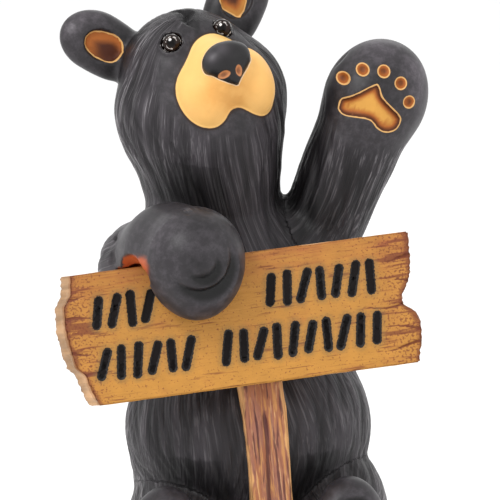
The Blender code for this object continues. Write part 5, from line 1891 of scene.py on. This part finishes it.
class BEAR_OT_board(Operator):
    """Make the sign's plank"""

    bl_idname = "bear.board"
    bl_label = "Plank"

    def execute(self, context):
        colours = context.scene.bear_colours
        piece = make_board(context.scene.bear_sizes)
        piece.data.materials.append(board_paint(colours))
        piece.data.shade_smooth()
        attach(piece, ROOT)
        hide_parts("sign_board")
        return {"FINISHED"}


MARK_THICKNESS, MARK_RAGGEDNESS = 0.0003, 0.0005


class BEAR_OT_marks(Operator):
    """Paint the rows of slanted strokes on the plank"""

    bl_idname = "bear.marks"
    bl_label = "Painted strokes"

    def execute(self, context):
        rows = list(strokes())
        depth = BOARD_FACE + context.scene.bear_sizes.mark_depth
        piece = new_piece("painted_strokes", [(row[0], depth, row[1]) for row in rows], [])
        keep_values(piece.data, "slant", np.array([row[2] for row in rows]))
        keep_values(piece.data, "half_length", np.array([row[3] / 2 for row in rows]))
        inputs = {
            "Half width": STROKE_WIDTH / 2,
            "Thickness": MARK_THICKNESS,
            "Raggedness": MARK_RAGGEDNESS,
            "Material": mark_paint(context.scene.bear_colours),
        }
        grown(piece, stroke_tree(), inputs)
        piece.data.transform(BOARD)
        face_outwards(piece.data)
        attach(piece, ROOT)
        return {"FINISHED"}


class BEAR_OT_stake(Operator):
    """Make the stake that carries the plank"""

    bl_idname = "bear.stake"
    bl_label = "Stake"

    def execute(self, context):
        colours = context.scene.bear_colours
        piece = make_stake(context.scene.bear_sizes)
        piece.data.materials.append(stake_paint(colours))
        piece.data.shade_smooth()
        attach(piece, ROOT)
        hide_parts("sign_post")
        return {"FINISHED"}


class BEAR_OT_base(Operator):
    """Make the low oval base"""

    bl_idname = "bear.base"
    bl_label = "Base"

    def execute(self, context):
        low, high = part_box("base")
        piece = new_piece("oval_base", [(0, 0, 0)], [])
        inputs = {
            "Half width": (high[0] - low[0]) / 2,
            "Half length": (high[1] - low[1]) / 2,
            "Height": high[2] - low[2],
            "Material": base_paint(context.scene.bear_colours),
        }
        grown(piece, oval_slab_tree(), inputs)
        face_outwards(piece.data)
        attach(piece, ROOT)
        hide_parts("base")
        return {"FINISHED"}


LIGHTS = (
    ("key light", (-0.75, -0.75, 1.05), 0.45, 8.0),
    ("fill light", (0.9, -0.9, 0.6), 0.9, 1.5),
    ("back light", (0.3, 1.1, 0.9), 0.8, 2.0),
)
LIGHT_TARGET = (0, 0, 0.12)
FLOOR_SIZE = 40.0
WORLD_STRENGTH = 1.12
CAMERA_SENSOR, CAMERA_CLIP = 36.0, (0.01, 100.0)


class BEAR_OT_stage(Operator):
    """Make the floor, the lights and the camera"""

    bl_idname = "bear.stage"
    bl_label = "Studio"

    def execute(self, context):
        scene = context.scene
        half = FLOOR_SIZE / 2
        corners = [(-half, -half, 0), (half, -half, 0), (half, half, 0), (-half, half, 0)]
        paint = Paint("floor paint", 0.8)
        material = paint.finished(paint.toned(scene.bear_colours.floor, paint.cloud(3.0, 0.01)))
        new_piece("floor", corners, [(0, 1, 2, 3)], [material])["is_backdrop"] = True
        world = bpy.data.worlds.new("studio")
        world.use_nodes = True
        world.node_tree.nodes["Background"].inputs["Color"].default_value = (1, 1, 1, 1)
        world.node_tree.nodes["Background"].inputs["Strength"].default_value = WORLD_STRENGTH
        scene.world = world
        for name, place, size, power in LIGHTS:
            light = bpy.data.lights.new(name, "AREA")
            light.size, light.energy = size, power
            lamp = bpy.data.objects.new(name, light)
            lamp.matrix_world = looking(place, LIGHT_TARGET)
            scene.collection.objects.link(lamp)
        camera = bpy.data.objects.new("camera", bpy.data.cameras.new("camera"))
        camera.data.lens, camera.data.sensor_width = CAMERA_LENS, CAMERA_SENSOR
        camera.data.clip_start, camera.data.clip_end = CAMERA_CLIP
        camera.matrix_world = looking(CAMERA_PLACE, CAMERA_TARGET)
        scene.collection.objects.link(camera)
        scene.camera = camera
        scene.view_settings.view_transform = "Standard"
        return {"FINISHED"}


STEPS = (
    BEAR_OT_casting,
    BEAR_OT_eyes,
    BEAR_OT_board,
    BEAR_OT_marks,
    BEAR_OT_stake,
    BEAR_OT_base,
    BEAR_OT_stage,
)


class BEAR_PT_panel(Panel):
    """Buttons for each piece, and the sizes and colours"""

    bl_idname = "BEAR_PT_panel"
    bl_label = "Bear figurine"
    bl_space_type = "VIEW_3D"
    bl_region_type = "UI"
    bl_category = "Bear"

    def draw(self, context):
        for step in STEPS:
            self.layout.operator(step.bl_idname)
        for group in (context.scene.bear_sizes, context.scene.bear_colours):
            for name in group.__annotations__:
                self.layout.prop(group, name)


CLASSES = (BearSizes, BearColours, *STEPS, BEAR_PT_panel)


def register():
    for item in CLASSES:
        bpy.utils.register_class(item)
    bpy.types.Scene.bear_sizes = PointerProperty(type=BearSizes)
    bpy.types.Scene.bear_colours = PointerProperty(type=BearColours)


def unregister():
    del bpy.types.Scene.bear_sizes
    del bpy.types.Scene.bear_colours
    for item in reversed(CLASSES):
        bpy.utils.unregister_class(item)


def main():
    register()
    for step in STEPS:
        group, name = step.bl_idname.split(".")
        getattr(getattr(bpy.ops, group), name)()
    boxes = [[list(corner) for corner in box] for box in (CAD_BOX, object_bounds())]


if __name__ == "__main__":
    main()
